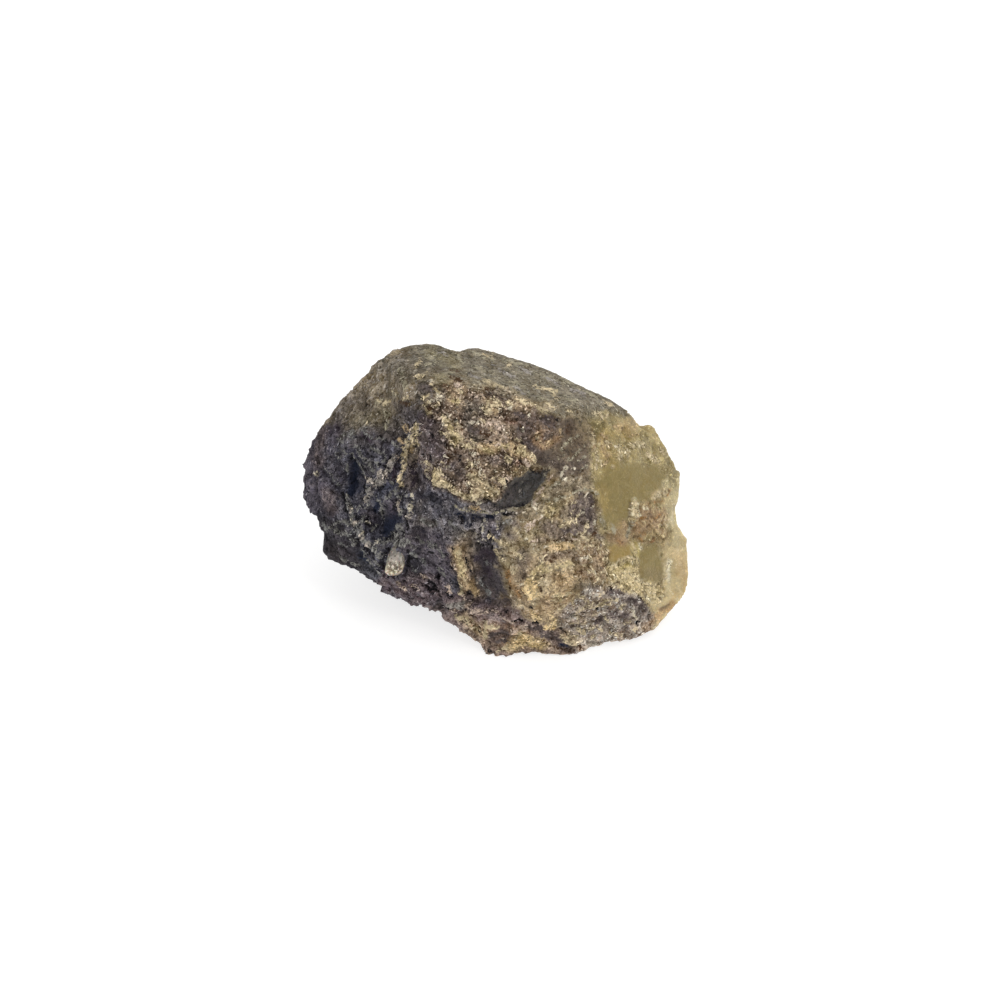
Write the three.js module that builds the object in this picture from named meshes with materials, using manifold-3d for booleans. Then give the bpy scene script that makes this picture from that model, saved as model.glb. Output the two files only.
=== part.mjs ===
// Rough tourmaline: one broken lump of rock, dark and grainy at one end and waxy olive at the other.
//
// Millimetres, +Z up. The origin is on the flat resting face, under the middle of the stone.
// The lump is laid out in a leaning frame: its broadest outline, the girdle, lies about a plane that
// leans back from upright. A place there is [across, up, out]: across is +X, up runs up the leaning
// plane, and out points away from it to the front. The broken faces in front of the girdle and behind
// it are planes, out = height + slope . [across, up], and the nearest plane to the girdle wins.

import * as THREE from "three";
import { ImprovedNoise } from "three/addons/math/ImprovedNoise.js";
import { mergeVertices } from "three/addons/utils/BufferGeometryUtils.js";
import Module from "manifold-3d";

// Driving dimensions
const LEAN = THREE.MathUtils.degToRad(35); // how far the girdle's plane leans back from upright
const MIDDLE = new THREE.Vector3(0, -1.7, 16.4); // the middle of the girdle, from the origin
const DETAIL = 21; // each icosahedron face is divided into (DETAIL + 1) squared triangles
const WORN = 0.35; // how far the edges between two broken faces are worn back
const RIM_POWER = 9; // how late the faces turn over into the girdle: higher is sharper
const NOTCHES_FADE = 0.3; // how far from the girdle, on the unit ball, its notches smooth out
const NOTCH_SPAN = THREE.MathUtils.degToRad(8); // the stretch that they are smoothed over

// The girdle, anticlockwise from the right: [across, up, out]
const GIRDLE = [
  [23.6, 0.1, -3.0], [23.7, 2.6, -3.2], [22.8, 5.4, -3.4], [21.8, 7.1, -3.4], [20.3, 9.4, -3.2],
  [18.6, 9.8, -2.6], [17.0, 11.3, -2.2], [14.4, 13.0, -2.0], [10.5, 14.7, -1.8],
  [6.5, 16.8, -1.8], [2.0, 18.3, -2.0], [-2.2, 19.5, -2.2], [-4.2, 19.4, -2.2],
  [-5.3, 18.6, -2.3], [-6.6, 19.7, -2.4], [-9.3, 20.1, -2.6], [-12.8, 19.6, -3.0],
  [-15.2, 18.0, -3.4], [-17.6, 15.5, -3.8], [-20.3, 12.6, -4.4], [-22.3, 10.1, -4.8],
  [-23.9, 7.7, -5.2], [-24.9, 4.8, -5.6], [-25.2, 1.6, -5.8], [-24.9, -0.6, -5.8],
  [-23.3, -2.4, -5.6], [-22.4, -4.7, -5.8], [-22.6, -7.1, -6.2], [-21.3, -8.1, -6.0],
  [-19.2, -9.0, -5.4], [-16.6, -10.9, -4.6], [-13.2, -12.3, -3.6], [-11.4, -13.7, -3.0],
  [-8.4, -14.2, -2.4], [-6.5, -15.3, -2.0], [-4.0, -17.2, -1.2], [-1.9, -18.8, -0.4],
  [-0.9, -20.1, 0.2], [1.5, -20.1, 0.6], [5.0, -19.6, 0.8], [9.0, -20.1, 0.6],
  [13.5, -18.5, -0.6], [19.0, -17.7, -1.8], [21.8, -15.3, -2.4], [24.9, -11.5, -3.0],
  [25.0, -8.6, -3.2], [24.5, -5.4, -3.2], [23.5, -2.6, -3.0],
];

// A broken face: the plane through a place [across, up, out], with out's slope across and up
const face = (place, slope) => ({ place, slope });
const FRONT = {
  top: face([-3.0, 13.8, 10.8], [-0.45, -1.9]),
  leftShoulder: face([-12.4, 8.8, 9.5], [0.85, -0.75]),
  left: face([-12.4, 4.0, 8.2], [0.8, 0.25]),
  lowerLeft: face([-17.0, -3.0, 4.5], [0.55, 0.8]),
  underBoss: face([5.5, 3.3, 12.4], [0.22, -0.32]),
  belowBoss: face([-0.4, -5.2, 14.9], [0.72, 0.66]),
  middle: face([5.5, 3.3, 13.0], [-0.43, 0.055]),
  upperRight: face([12.6, 0.4, 9.8], [-1.0, -0.33]),
  right: face([12.6, 0.4, 9.8], [-1.0, 0.1]),
  foot: face([9.0, -13.0, 8.8], [-0.25, 1.3]),
};
const BACK = {
  top: face([0.0, 19.0, -7.5], [0.14, 0.9]),
  upperLeft: face([-17.5, 15.5, -9.0], [-0.6, 0.7]),
  left: face([-25.0, 2.0, -10.5], [-0.62, -0.3]),
  upperRight: face([17.0, 11.0, -8.5], [0.75, 0.6]),
  right: face([24.0, -3.0, -9.0], [0.9, -0.25]),
  rear: face([0.0, 2.0, -19.5], [0.1, 0.14]),
  heel: face([0.0, -19.0, -5.0], [0.05, -1.5]),
};

// The boss stands out from the face under it: its own broken faces, with steep sides
const BOSS = {
  crown: face([-3.0, 5.0, 13.8], [0.02, -0.26]),
  brow: face([-3.0, 13.8, 10.8], [-0.45, -1.9]),
  leftSide: face([-9.0, 7.5, 13.0], [2.6, 0.7]),
  lowerLeftSide: face([-6.6, 1.6, 14.6], [1.9, 2.3]),
  lowerSide: face([-2.0, -0.6, 15.2], [0.4, 3.2]),
  rightSide: face([2.4, 2.4, 14.6], [-2.4, 1.6]),
};

// Dents and swellings: place [across, up], reach [along, beside], turned anticlockwise, and height
const spot = (place, reach, turned, height) => ({ place, reach, turned, height });
const FRONT_SPOTS = [
  spot([3.9, 1.3], [3.0, 1.7], 52, -2.8), // the wedge pit beside the boss
  spot([-18.2, 2.4], [3.4, 2.2], 80, -2.4), // hollows of the left face
  spot([-14.6, -3.2], [3.2, 1.9], 115, -2.4),
  spot([-11.2, 4.6], [2.6, 1.3], 90, -1.8),
  spot([-9.0, -3.6], [2.4, 1.4], 120, -1.4),
  spot([-12.9, -7.8], [1.8, 1.0], 95, 0.9), // the bed of the clear crystal
  spot([-8.4, -9.6], [2.6, 1.5], 20, -1.0),
  spot([17.6, 2.4], [4.2, 3.4], 80, 0.8), // the waxy window
  spot([16.6, -6.2], [2.6, 1.6], 60, -0.7),
  spot([8.2, 8.8], [2.4, 1.6], 30, -0.6),
];
const BACK_SPOTS = [
  spot([-8.0, 7.5], [7.0, 4.6], 30, 2.8), // a shell-shaped scoop
  spot([8.5, 8.0], [5.5, 3.6], -20, 2.4),
  spot([16.0, -3.0], [4.4, 3.4], 70, 1.9),
  spot([-17.0, -1.0], [4.6, 3.0], 100, 1.9),
  spot([0.0, 0.0], [4.5, 3.0], 10, -1.4),
];

// Ribs and grooves: a path of places [across, up], a width and a height
const run = (path, width, height) => ({ path, width, height });
const FRONT_RUNS = [
  run([[-12.4, 7.2], [-12.6, 4.2], [-12.2, 1.4]], 1.0, 1.0), // ribs of the left face
  run([[-17.2, 5.2], [-15.2, 2.8], [-13.0, 0.2]], 1.0, 0.9),
  run([[-19.6, -1.0], [-17.6, -4.2], [-16.0, -7.0]], 1.0, 0.9), // the edge of the lower left face
  run([[-6.4, -4.6], [-5.0, -8.6], [-2.6, -12.4]], 1.1, 0.8), // the tan vein
  run([[-2.4, -5.6], [-1.2, -9.6], [0.6, -13.4]], 1.5, -1.6), // the groove beside it
  run([[-7.0, -1.0], [-1.8, -2.0], [3.0, -0.8]], 0.9, 0.5), // the arc under the boss
  run([[2.0, -15.6], [7.0, -15.0], [12.0, -15.8]], 0.9, -0.6), // the foot's layers
];

// Coarse roughness all over: the size of the lumps, and their height
const LUMPS = [[9, 0.5], [4.2, 0.36], [2.3, 0.22]];

// The leaning frame in the standing one
const standing = new THREE.Matrix4()
  .makeRotationX(Math.PI / 2 - LEAN)
  .premultiply(new THREE.Matrix4().makeTranslation(MIDDLE));

// The girdle as a fine run of points, each with its angle and reach from the middle, and its out
const girdle = new THREE.CatmullRomCurve3(
  GIRDLE.map((place) => new THREE.Vector3(...place)), true, "centripetal")
  .getPoints(960)
  .map((p) => ({ angle: Math.atan2(p.y, p.x), reach: Math.hypot(p.x, p.y), out: p.z }))
  .sort((a, b) => a.angle - b.angle);

// The girdle's reach and out at an angle round the middle
function girdleAt(anyAngle) {
  const angle = Math.atan2(Math.sin(anyAngle), Math.cos(anyAngle));
  const next = girdle.findIndex((p) => p.angle > angle);
  const a = girdle.at(next < 1 ? -1 : next - 1);
  const b = girdle[Math.max(next, 0)];
  const turn = (x) => THREE.MathUtils.euclideanModulo(x, 2 * Math.PI);
  const share = turn(angle - a.angle) / Math.max(turn(b.angle - a.angle), 1e-9);
  return {
    reach: THREE.MathUtils.lerp(a.reach, b.reach, share),
    out: THREE.MathUtils.lerp(a.out, b.out, share),
  };
}

// The same reach with the girdle's notches and knobs smoothed away
const smoothReach = (angle) =>
  [-2, -1, 0, 1, 2].reduce((sum, k) => sum + girdleAt(angle + k * NOTCH_SPAN).reach / 5, 0);

const planeHeight = ({ place, slope }, across, up) =>
  place[2] + slope[0] * (across - place[0]) + slope[1] * (up - place[1]);

// The least of some heights, with a worn edge where two of them meet
function wornLeast(heights) {
  const least = Math.min(...heights);
  const sum = heights.reduce((total, h) => total + Math.exp((least - h) / WORN), 0);
  return least - WORN * Math.log(sum);
}

const frontHeight = (faces, across, up) =>
  wornLeast(Object.values(faces).map((f) => planeHeight(f, across, up)));
const backHeight = (faces, across, up) =>
  -wornLeast(Object.values(faces).map((f) => -planeHeight(f, across, up)));

function spotHeight({ place, reach, turned, height }, across, up) {
  const turn = THREE.MathUtils.degToRad(turned);
  const x = across - place[0];
  const y = up - place[1];
  const along = (x * Math.cos(turn) + y * Math.sin(turn)) / reach[0];
  const beside = (y * Math.cos(turn) - x * Math.sin(turn)) / reach[1];
  return height * Math.exp(-((along * along + beside * beside) ** 1.5));
}

function runHeight({ path, width, height }, across, up) {
  const p = new THREE.Vector3(across, up, 0);
  const nearest = new THREE.Vector3();
  const stretch = new THREE.Line3();
  let distance = Infinity;
  for (let i = 1; i < path.length; i++) {
    stretch.set(new THREE.Vector3(...path[i - 1], 0), new THREE.Vector3(...path[i], 0));
    stretch.closestPointToPoint(p, true, nearest);
    distance = Math.min(distance, nearest.distanceTo(p));
  }
  return height * Math.exp(-((distance / width) ** 2));
}

const noise = new ImprovedNoise();
const lumpHeight = (p) => LUMPS.reduce((total, [size, height], i) =>
  total + height * noise.noise(p.x / size + 17 * i, p.y / size + 5, p.z / size - 9 * i), 0);

const total = (items, heightOf, across, up) =>
  items.reduce((sum, item) => sum + heightOf(item, across, up), 0);

// Where the point of the unit ball in direction d goes on the stone, in the leaning frame
function onStone(d) {
  const angle = Math.atan2(d.y, d.x);
  const rim = girdleAt(angle);
  const smooth = THREE.MathUtils.smoothstep(Math.abs(d.z), 0, NOTCHES_FADE);
  const reach = THREE.MathUtils.lerp(rim.reach, smoothReach(angle), smooth);
  const across = d.x * reach;
  const up = d.y * reach;
  let height;
  if (d.z >= 0) {
    const ground = frontHeight(FRONT, across, up);
    const boss = frontHeight(BOSS, across, up);
    height = -wornLeast([-ground, -boss])
      + total(FRONT_SPOTS, spotHeight, across, up) + total(FRONT_RUNS, runHeight, across, up);
  } else {
    height = backHeight(BACK, across, up) + total(BACK_SPOTS, spotHeight, across, up);
  }
  const inward = Math.sqrt(Math.max(0, 1 - Math.hypot(d.x, d.y) ** RIM_POWER));
  const p = new THREE.Vector3(across, up, THREE.MathUtils.lerp(rim.out, height, inward));
  return p.addScaledVector(d, lumpHeight(p) * inward);
}

function closedSolid(wasm, geometry) {
  geometry.deleteAttribute("normal");
  geometry.deleteAttribute("uv");
  const merged = mergeVertices(geometry);
  return new wasm.Manifold(new wasm.Mesh({
    numProp: 3,
    vertProperties: merged.getAttribute("position").array,
    triVerts: Uint32Array.from(merged.index.array),
  }));
}

// The lump, before its resting face is cut
const lump = new THREE.IcosahedronGeometry(1, DETAIL);
const places = lump.getAttribute("position");
for (let i = 0; i < places.count; i++) {
  const p = onStone(new THREE.Vector3().fromBufferAttribute(places, i)).applyMatrix4(standing);
  places.setXYZ(i, p.x, p.y, p.z);
}

// Everything under the resting face
const BELOW = 120;
const below = new THREE.BoxGeometry(BELOW, BELOW, BELOW).translate(0, 0, -BELOW / 2);

const wasm = await Module();
wasm.setup();
const cut = closedSolid(wasm, lump).subtract(closedSolid(wasm, below)).getMesh();
const shape = new THREE.BufferGeometry();
shape.setAttribute("position", new THREE.BufferAttribute(cut.vertProperties, 3));
shape.setIndex(new THREE.BufferAttribute(cut.triVerts, 1));
shape.computeVertexNormals();

const rock = new THREE.MeshStandardMaterial({ color: 0x5d5546, roughness: 0.75, metalness: 0 });
const stone = new THREE.Mesh(shape, rock);
stone.name = "rough_tourmaline";

const group = new THREE.Group();
group.add(stone);
export default group;
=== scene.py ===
import math

import bmesh
import bpy
import numpy as np
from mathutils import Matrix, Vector, noise
from mathutils.bvhtree import BVHTree


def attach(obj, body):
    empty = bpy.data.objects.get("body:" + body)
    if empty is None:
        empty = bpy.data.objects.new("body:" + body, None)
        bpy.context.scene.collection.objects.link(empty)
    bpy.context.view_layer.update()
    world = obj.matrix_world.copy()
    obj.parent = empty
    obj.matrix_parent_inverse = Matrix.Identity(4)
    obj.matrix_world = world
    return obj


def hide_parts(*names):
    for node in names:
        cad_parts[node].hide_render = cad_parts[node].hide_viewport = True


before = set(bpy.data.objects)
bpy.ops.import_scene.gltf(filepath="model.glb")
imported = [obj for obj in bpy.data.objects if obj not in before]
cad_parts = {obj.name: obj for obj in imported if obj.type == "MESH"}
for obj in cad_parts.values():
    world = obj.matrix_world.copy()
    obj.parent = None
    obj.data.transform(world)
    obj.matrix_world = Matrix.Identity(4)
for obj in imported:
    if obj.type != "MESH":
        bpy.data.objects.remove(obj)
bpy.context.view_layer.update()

# Lengths below are millimetres; Blender's are metres.
MM = 0.001

# The stone's leaning frame, as its solid was laid out: the girdle, its broadest outline, lies about a
# plane that leans back from upright. across and up run in that plane, and out points to its front.
LEAN = math.radians(35)
MIDDLE = Vector((0.0, -1.7, 16.4))
ACROSS = Vector((1, 0, 0))
UP = Vector((0, math.sin(LEAN), math.cos(LEAN)))
OUT = Vector((0, -math.cos(LEAN), math.sin(LEAN)))

# The place that the front is looked at from, and the lens
EYE = (0.45, -0.065, 484.5)
LENS = 135
SENSOR = 36

# The ways the rock's streaks run: falling to the right, and rising
FALLING = (ACROSS * 0.86 - UP * 0.46 + OUT * 0.22).normalized()
RISING = (ACROSS * 0.62 + UP * 0.74 + OUT * 0.25).normalized()


# ---------------------------------------------------------------------------------------------
# The front's markings. Their places are (across, up) on the girdle's plane, seen from EYE.
# ---------------------------------------------------------------------------------------------

# Finishes: the colours of its dark ground and of its pale grains, the share of grains, and its wax,
# roughness, strewn crumbs and strewn slivers, and how strongly and at what angle its streaks run
FINISHES = {
    #               ground                  grains                  share wax   rough crumb sliver streak
    "top":          ((0.141, 0.116, 0.076), (0.330, 0.303, 0.238), 0.38, 0.20, 0.25, 0.02, 0.10, 1.0, -28),
    "moss":        ((0.266, 0.209, 0.118), (0.422, 0.377, 0.329), 0.40, 0.05, 0.70, 0.04, 0.25, 0.7, 50),
    "black rock": ((0.034, 0.032, 0.049), (0.236, 0.230, 0.258), 0.36, 0.00, 1.00, 0.00, 0.20, 0.5, 62),
    # a blue-black darker than the rock around it: partly the rock's own colour, partly painted shade in its hollows
    "shaded hollow":       ((0.020, 0.025, 0.046), (0.056, 0.060, 0.092), 0.26, 0.05, 0.50, 0.00, 0.02, 0.0, 0),
    "slate": ((0.043, 0.039, 0.047), (0.074, 0.069, 0.079), 0.34, 0.00, 0.80, 0.00, 0.08, 0.4, -55),
    "purple edge":  ((0.074, 0.066, 0.093), (0.191, 0.172, 0.193), 0.36, 0.00, 0.90, 0.02, 0.10, 0.2, 70),
    "crust":        ((0.087, 0.052, 0.031), (0.505, 0.403, 0.309), 0.36, 0.00, 1.00, 0.45, 0.05, 0.0, 0),
    # the boss's left flank: partly the crust's own darker colour, partly painted shade
    "shaded crust":  ((0.036, 0.018, 0.018), (0.455, 0.391, 0.386), 0.36, 0.00, 1.00, 0.30, 0.10, 0.0, 0),
    "brown crust": ((0.192, 0.130, 0.084), (0.286, 0.238, 0.199), 0.34, 0.00, 0.80, 0.20, 0.05, 0.0, 0),
    # smooth grey stone, darkened with painted shade in the wedge's cavity
    "shaded wedge": ((0.094, 0.085, 0.077), (0.136, 0.135, 0.134), 0.34, 0.35, 0.18, 0.00, 0.00, 0.0, 0),
    "crease":      ((0.122, 0.094, 0.070), (0.225, 0.180, 0.130), 0.34, 0.35, 0.22, 0.00, 0.02, 0.8, 52),
    "streaked":     ((0.329, 0.247, 0.137), (0.577, 0.509, 0.369), 0.34, 0.15, 0.55, 0.05, 0.08, 0.7, 52),
    "sandy": ((0.360, 0.268, 0.168), (0.600, 0.485, 0.320), 0.44, 0.30, 0.45, 0.03, 0.06, 0.3, 35),
    "frayed":       ((0.230, 0.154, 0.079), (0.464, 0.377, 0.281), 0.38, 0.05, 0.70, 0.04, 0.20, 0.8, -50),
    "plum": ((0.135, 0.102, 0.090), (0.350, 0.295, 0.240), 0.30, 0.00, 0.60, 0.06, 0.10, 0.3, -40),
    "speckled":    ((0.215, 0.166, 0.080), (0.444, 0.384, 0.217), 0.38, 0.65, 0.35, 0.02, 0.06, 0.0, 0),
    "olive":       ((0.214, 0.168, 0.068), (0.268, 0.218, 0.100), 0.36, 1.00, 0.06, 0.00, 0.00, 0.0, 0),
    "gold":        ((0.275, 0.198, 0.070), (0.330, 0.255, 0.110), 0.36, 1.00, 0.06, 0.00, 0.00, 0.0, 0),
    "rust": ((0.265, 0.178, 0.102), (0.490, 0.375, 0.220), 0.40, 0.45, 0.38, 0.02, 0.03, 0.3, 40),
    "straw": ((0.480, 0.390, 0.222), (0.590, 0.500, 0.312), 0.36, 0.85, 0.15, 0.00, 0.01, 0.0, 0),
    "cream": ((0.380, 0.290, 0.150), (0.700, 0.600, 0.380), 0.54, 0.25, 0.60, 0.03, 0.20, 0.9, -40),
    "peppered": ((0.380, 0.278, 0.200), (0.800, 0.765, 0.690), 0.36, 0.00, 0.90, 0.06, 0.20, 0.3, 25),
    "lip": ((0.300, 0.222, 0.206), (0.409, 0.345, 0.335), 0.38, 0.00, 0.80, 0.04, 0.12, 0.8, -12),
    "foot": ((0.400, 0.270, 0.190), (0.720, 0.600, 0.470), 0.42, 0.00, 0.80, 0.06, 0.12, 0.7, -25),
    "burnt edge":   ((0.069, 0.040, 0.046), (0.365, 0.318, 0.338), 0.34, 0.00, 1.00, 0.03, 0.12, 0.3, -25),
    "underside":    ((0.062, 0.052, 0.061), (0.516, 0.486, 0.504), 0.36, 0.00, 0.80, 0.02, 0.12, 0.2, 70),
    "smoke":        ((0.086, 0.075, 0.097), (0.210, 0.187, 0.207), 0.38, 0.00, 0.80, 0.01, 0.05, 0.2, 50),
    "groove":       ((0.042, 0.035, 0.042), (0.120, 0.105, 0.108), 0.34, 0.20, 0.30, 0.00, 0.01, 0.0, 0),
}

# Zones of the front, each painted over those before it: finish, softness and corners
ZONES = [
    ("black rock", 1.2, [(-27, 16), (-13, 16), (-9, 13), (-6, 12), (2, 3), (0, -6), (1, -22), (-27, -22)]),
    ("moss", 2.6, [(-27, 9.6), (-22.4, 9.4), (-20.6, 10.6), (-18.6, 8.8), (-16.6, 9.0), (-15.2, 9.6),
                   (-13.8, 8.6), (-12.2, 10.2), (-10, 12.6), (-6.5, 14.6), (-5, 22), (-27, 22)]),
    ("top", 0.9, [(-11, 17.6), (-5.6, 15.2), (-2, 14.8), (3, 13.4), (8, 11.0), (12, 10.6), (19, 10.2),
                  (19, 22), (-13, 22)]),
    ("smoke", 1.2, [(-12, -3.8), (-6, -4), (-4.2, -6), (-4.6, -10), (-6, -12), (-9, -11), (-12, -9.4)]),
    ("underside", 0.9, [(-11, 0.4), (-8, 1.8), (-5, -0.4), (0, -1.4), (3.2, -1.4), (3, -4.6), (0.6, -6.6),
                        (-4, -6), (-8, -4.4), (-11.6, -3)]),
    ("crease", 0.6, [(7.0, 10.4), (11.8, 10.4), (12.2, 7), (12.2, 2.6), (9.4, 2.2), (6.6, 3.2), (5.0, 4.6),
                     (4.6, 6.6), (6.4, 8.4)]),
    ("streaked", 0.8, [(12.3, 3.4), (12.4, 1.5), (14.2, -8), (10, -7), (5, -8), (3.4, -7.6), (0.2, -6.4),
                       (1.2, -3), (4.2, -1.4), (6.2, 3.0), (9.4, 2.4)]),
    ("speckled", 0.6, [(12.2, 10.6), (16, 11.0), (30, 12), (30, -22), (17, -13), (14.2, -9), (12.6, 1)]),
    ("olive", 0.45, [(13.2, 4.2), (14.6, 5.0), (17.5, 4.6), (20.5, 4.2), (22, 2.8), (20.4, 0.4), (18.6, -0.4),
                     (17.0, -2.2), (16.6, -4.4), (14.4, -3.4), (13.0, -1.4)]),
    ("straw", 1.0, [(21.6, -0.8), (22.8, 1.6), (26, 3), (27, -18), (20.4, -18), (20.0, -13.5), (21.6, -11.0),
                    (21.9, -7)]),
    ("rust", 1.3, [(18.6, -1.4), (20.4, -1.0), (22.0, -2.0), (21.8, -4.8), (20.6, -5.6), (18.4, -5.4),
                   (17.4, -4.2)]),
    ("olive", 0.4, [(18.5, -6.6), (20.6, -6.0), (21.9, -7.6), (21.6, -10.2), (20.0, -10.9), (18.8, -10.4),
                    (18.2, -8.4)]),
    ("gold", 0.12, [(14.3, -6.2), (15.3, -5.8), (17.4, -5.7), (17.4, -6.9), (16.0, -7.7), (14.6, -8.4)]),
    ("cream", 0.5, [(14.4, -9.2), (16.0, -8.2), (18.2, -8.8), (18.8, -10.8), (21.8, -10.6), (21.2, -13.2),
                    (19.6, -13.2), (17.4, -12.2), (15.4, -11.2)]),
    ("sandy", 0.7, [(2.6, -8.4), (5.4, -7.2), (9.8, -7.4), (10.6, -10.4), (10.2, -13.6), (8.8, -16.4),
                    (6.0, -16.8), (3.0, -15.6), (3.2, -12.8), (2.0, -10.6)]),
    ("frayed", 0.6, [(10.2, -5.8), (14.0, -5.2), (14.4, -9.4), (14.0, -10.6), (11.2, -10.8), (10.4, -8.6)]),
    ("plum", 0.6, [(10.0, 1.0), (11.8, 1.3), (12.8, -1.6), (13.4, -4.8), (11.4, -4.8), (9.2, -3.6)]),
    ("peppered", 0.5, [(9.4, -13.8), (12.0, -11.8), (14.2, -11.2), (16.6, -11.9), (18.8, -12.8),
                       (19.9, -14.4), (18.6, -22), (8.8, -22), (8.0, -16.6)]),
    ("burnt edge", 0.8, [(-14.6, -9.6), (-12, -10), (-8.6, -9.6), (-5.6, -11.6), (-4.4, -13.4), (-8.4, -16),
                         (-18, -14)]),
    ("lip", 0.6, [(-8.6, -13.4), (-5.8, -12.9), (-1, -13.4), (2.4, -14.0), (3.4, -15.4), (5.4, -16.3), (8.0, -17.0),
                  (6, -17.6), (0, -18), (-9, -17)]),
    ("foot", 0.5, [(-4.6, -15.2), (0, -16.2), (4, -16.4), (9, -16.6), (9.8, -22), (-5, -22)]),
    ("crust", 0.6, [(-10.2, 9.6), (-8.6, 13.4), (-5.4, 15.0), (-1, 14.0), (4.2, 12.6), (6.4, 10.6),
                    (5.2, 8.4), (4.4, 6.0), (4.6, 4.6), (2.6, 2.9), (1.3, 1.0), (0.2, -0.4), (-2.6, -0.5),
                    (-5.4, 0.5), (-8.2, 1.6), (-9.4, 4.4)]),
    # painted shade on the boss's left flank, over its crust
    ("shaded crust", 0.8, [(-10.4, 10.8), (-8.2, 11.0), (-6.9, 9.0), (-6.3, 7.0), (-6.0, 4.8), (-8.0, 3.6),
                         (-9.8, 4.4)]),
    ("brown crust", 0.8, [(1.6, 11.6), (4.4, 11.6), (8.1, 10.9), (8.4, 8.8), (7.4, 6.6), (4.4, 7.2),
                          (2.6, 8.6)]),
    ("crease", 0.35, [(8.1, 10.6), (11.2, 10.2), (11.6, 8.0), (9.6, 4.6), (6.2, 4.0), (4.9, 5.0), (5.4, 6.2),
                      (8.2, 6.8)]),
    # painted shade under the boss's lower ledge, in the black rock's finish
    ("black rock", 0.9, [(-9.8, 0.8), (-8.4, 1.4), (-6.2, -0.2), (-4.6, -1.2), (-6.0, -2.2), (-8.6, -2.0)]),
    ("purple edge", 1.0, [(-27, 9.6), (-20.6, 9.8), (-21.6, 5.6), (-22.2, 2.4), (-20.6, 1.2), (-20.6, -1.6),
                          (-27, -2)]),
    ("slate", 0.4, [(-27, -2.6), (-20.4, -2.4), (-18.4, -4.4), (-16.9, -6.6), (-15.9, -9.2), (-17.6, -12),
                    (-27, -12)]),
    # painted shade: the left face's two hollows, darker than the rock around them
    ("shaded hollow", 0.7, [(-18.9, 4.9), (-17.9, 4.6), (-17.6, 3.0), (-17.1, 1.6), (-17.6, 0.6), (-19.0, 0.3),
                     (-19.6, 1.6), (-19.0, 3.2)]),
    ("shaded hollow", 0.6, [(-15.2, -4.4), (-14.6, -2.8), (-13.6, -1.8), (-12.2, -1.7), (-11.9, -3.0), (-13.6, -4.4),
                     (-15.0, -5.3)]),
    ("groove", 0.45, [(-2.7, -7.2), (-2.0, -6.0), (-0.3, -6.2), (0.4, -8.4), (1.1, -10.4), (1.2, -12.6),
                      (-1.6, -12.6), (-2.2, -10.4)]),
    # painted shade: the wedge's cavity at the boss's lower right
    ("shaded wedge", 0.1, [(-0.3, -0.8), (0.5, -0.1), (1.0, 0.9), (1.5, 1.7), (2.1, 2.6), (3.3, 3.1), (4.1, 3.8),
                    (5.2, 3.6), (6.9, 3.7), (6.0, 2.4), (5.2, 1.0), (4.4, -0.4), (3.2, -1.0), (1.8, -1.0),
                    (0.8, -1.4)]),
]

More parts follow.
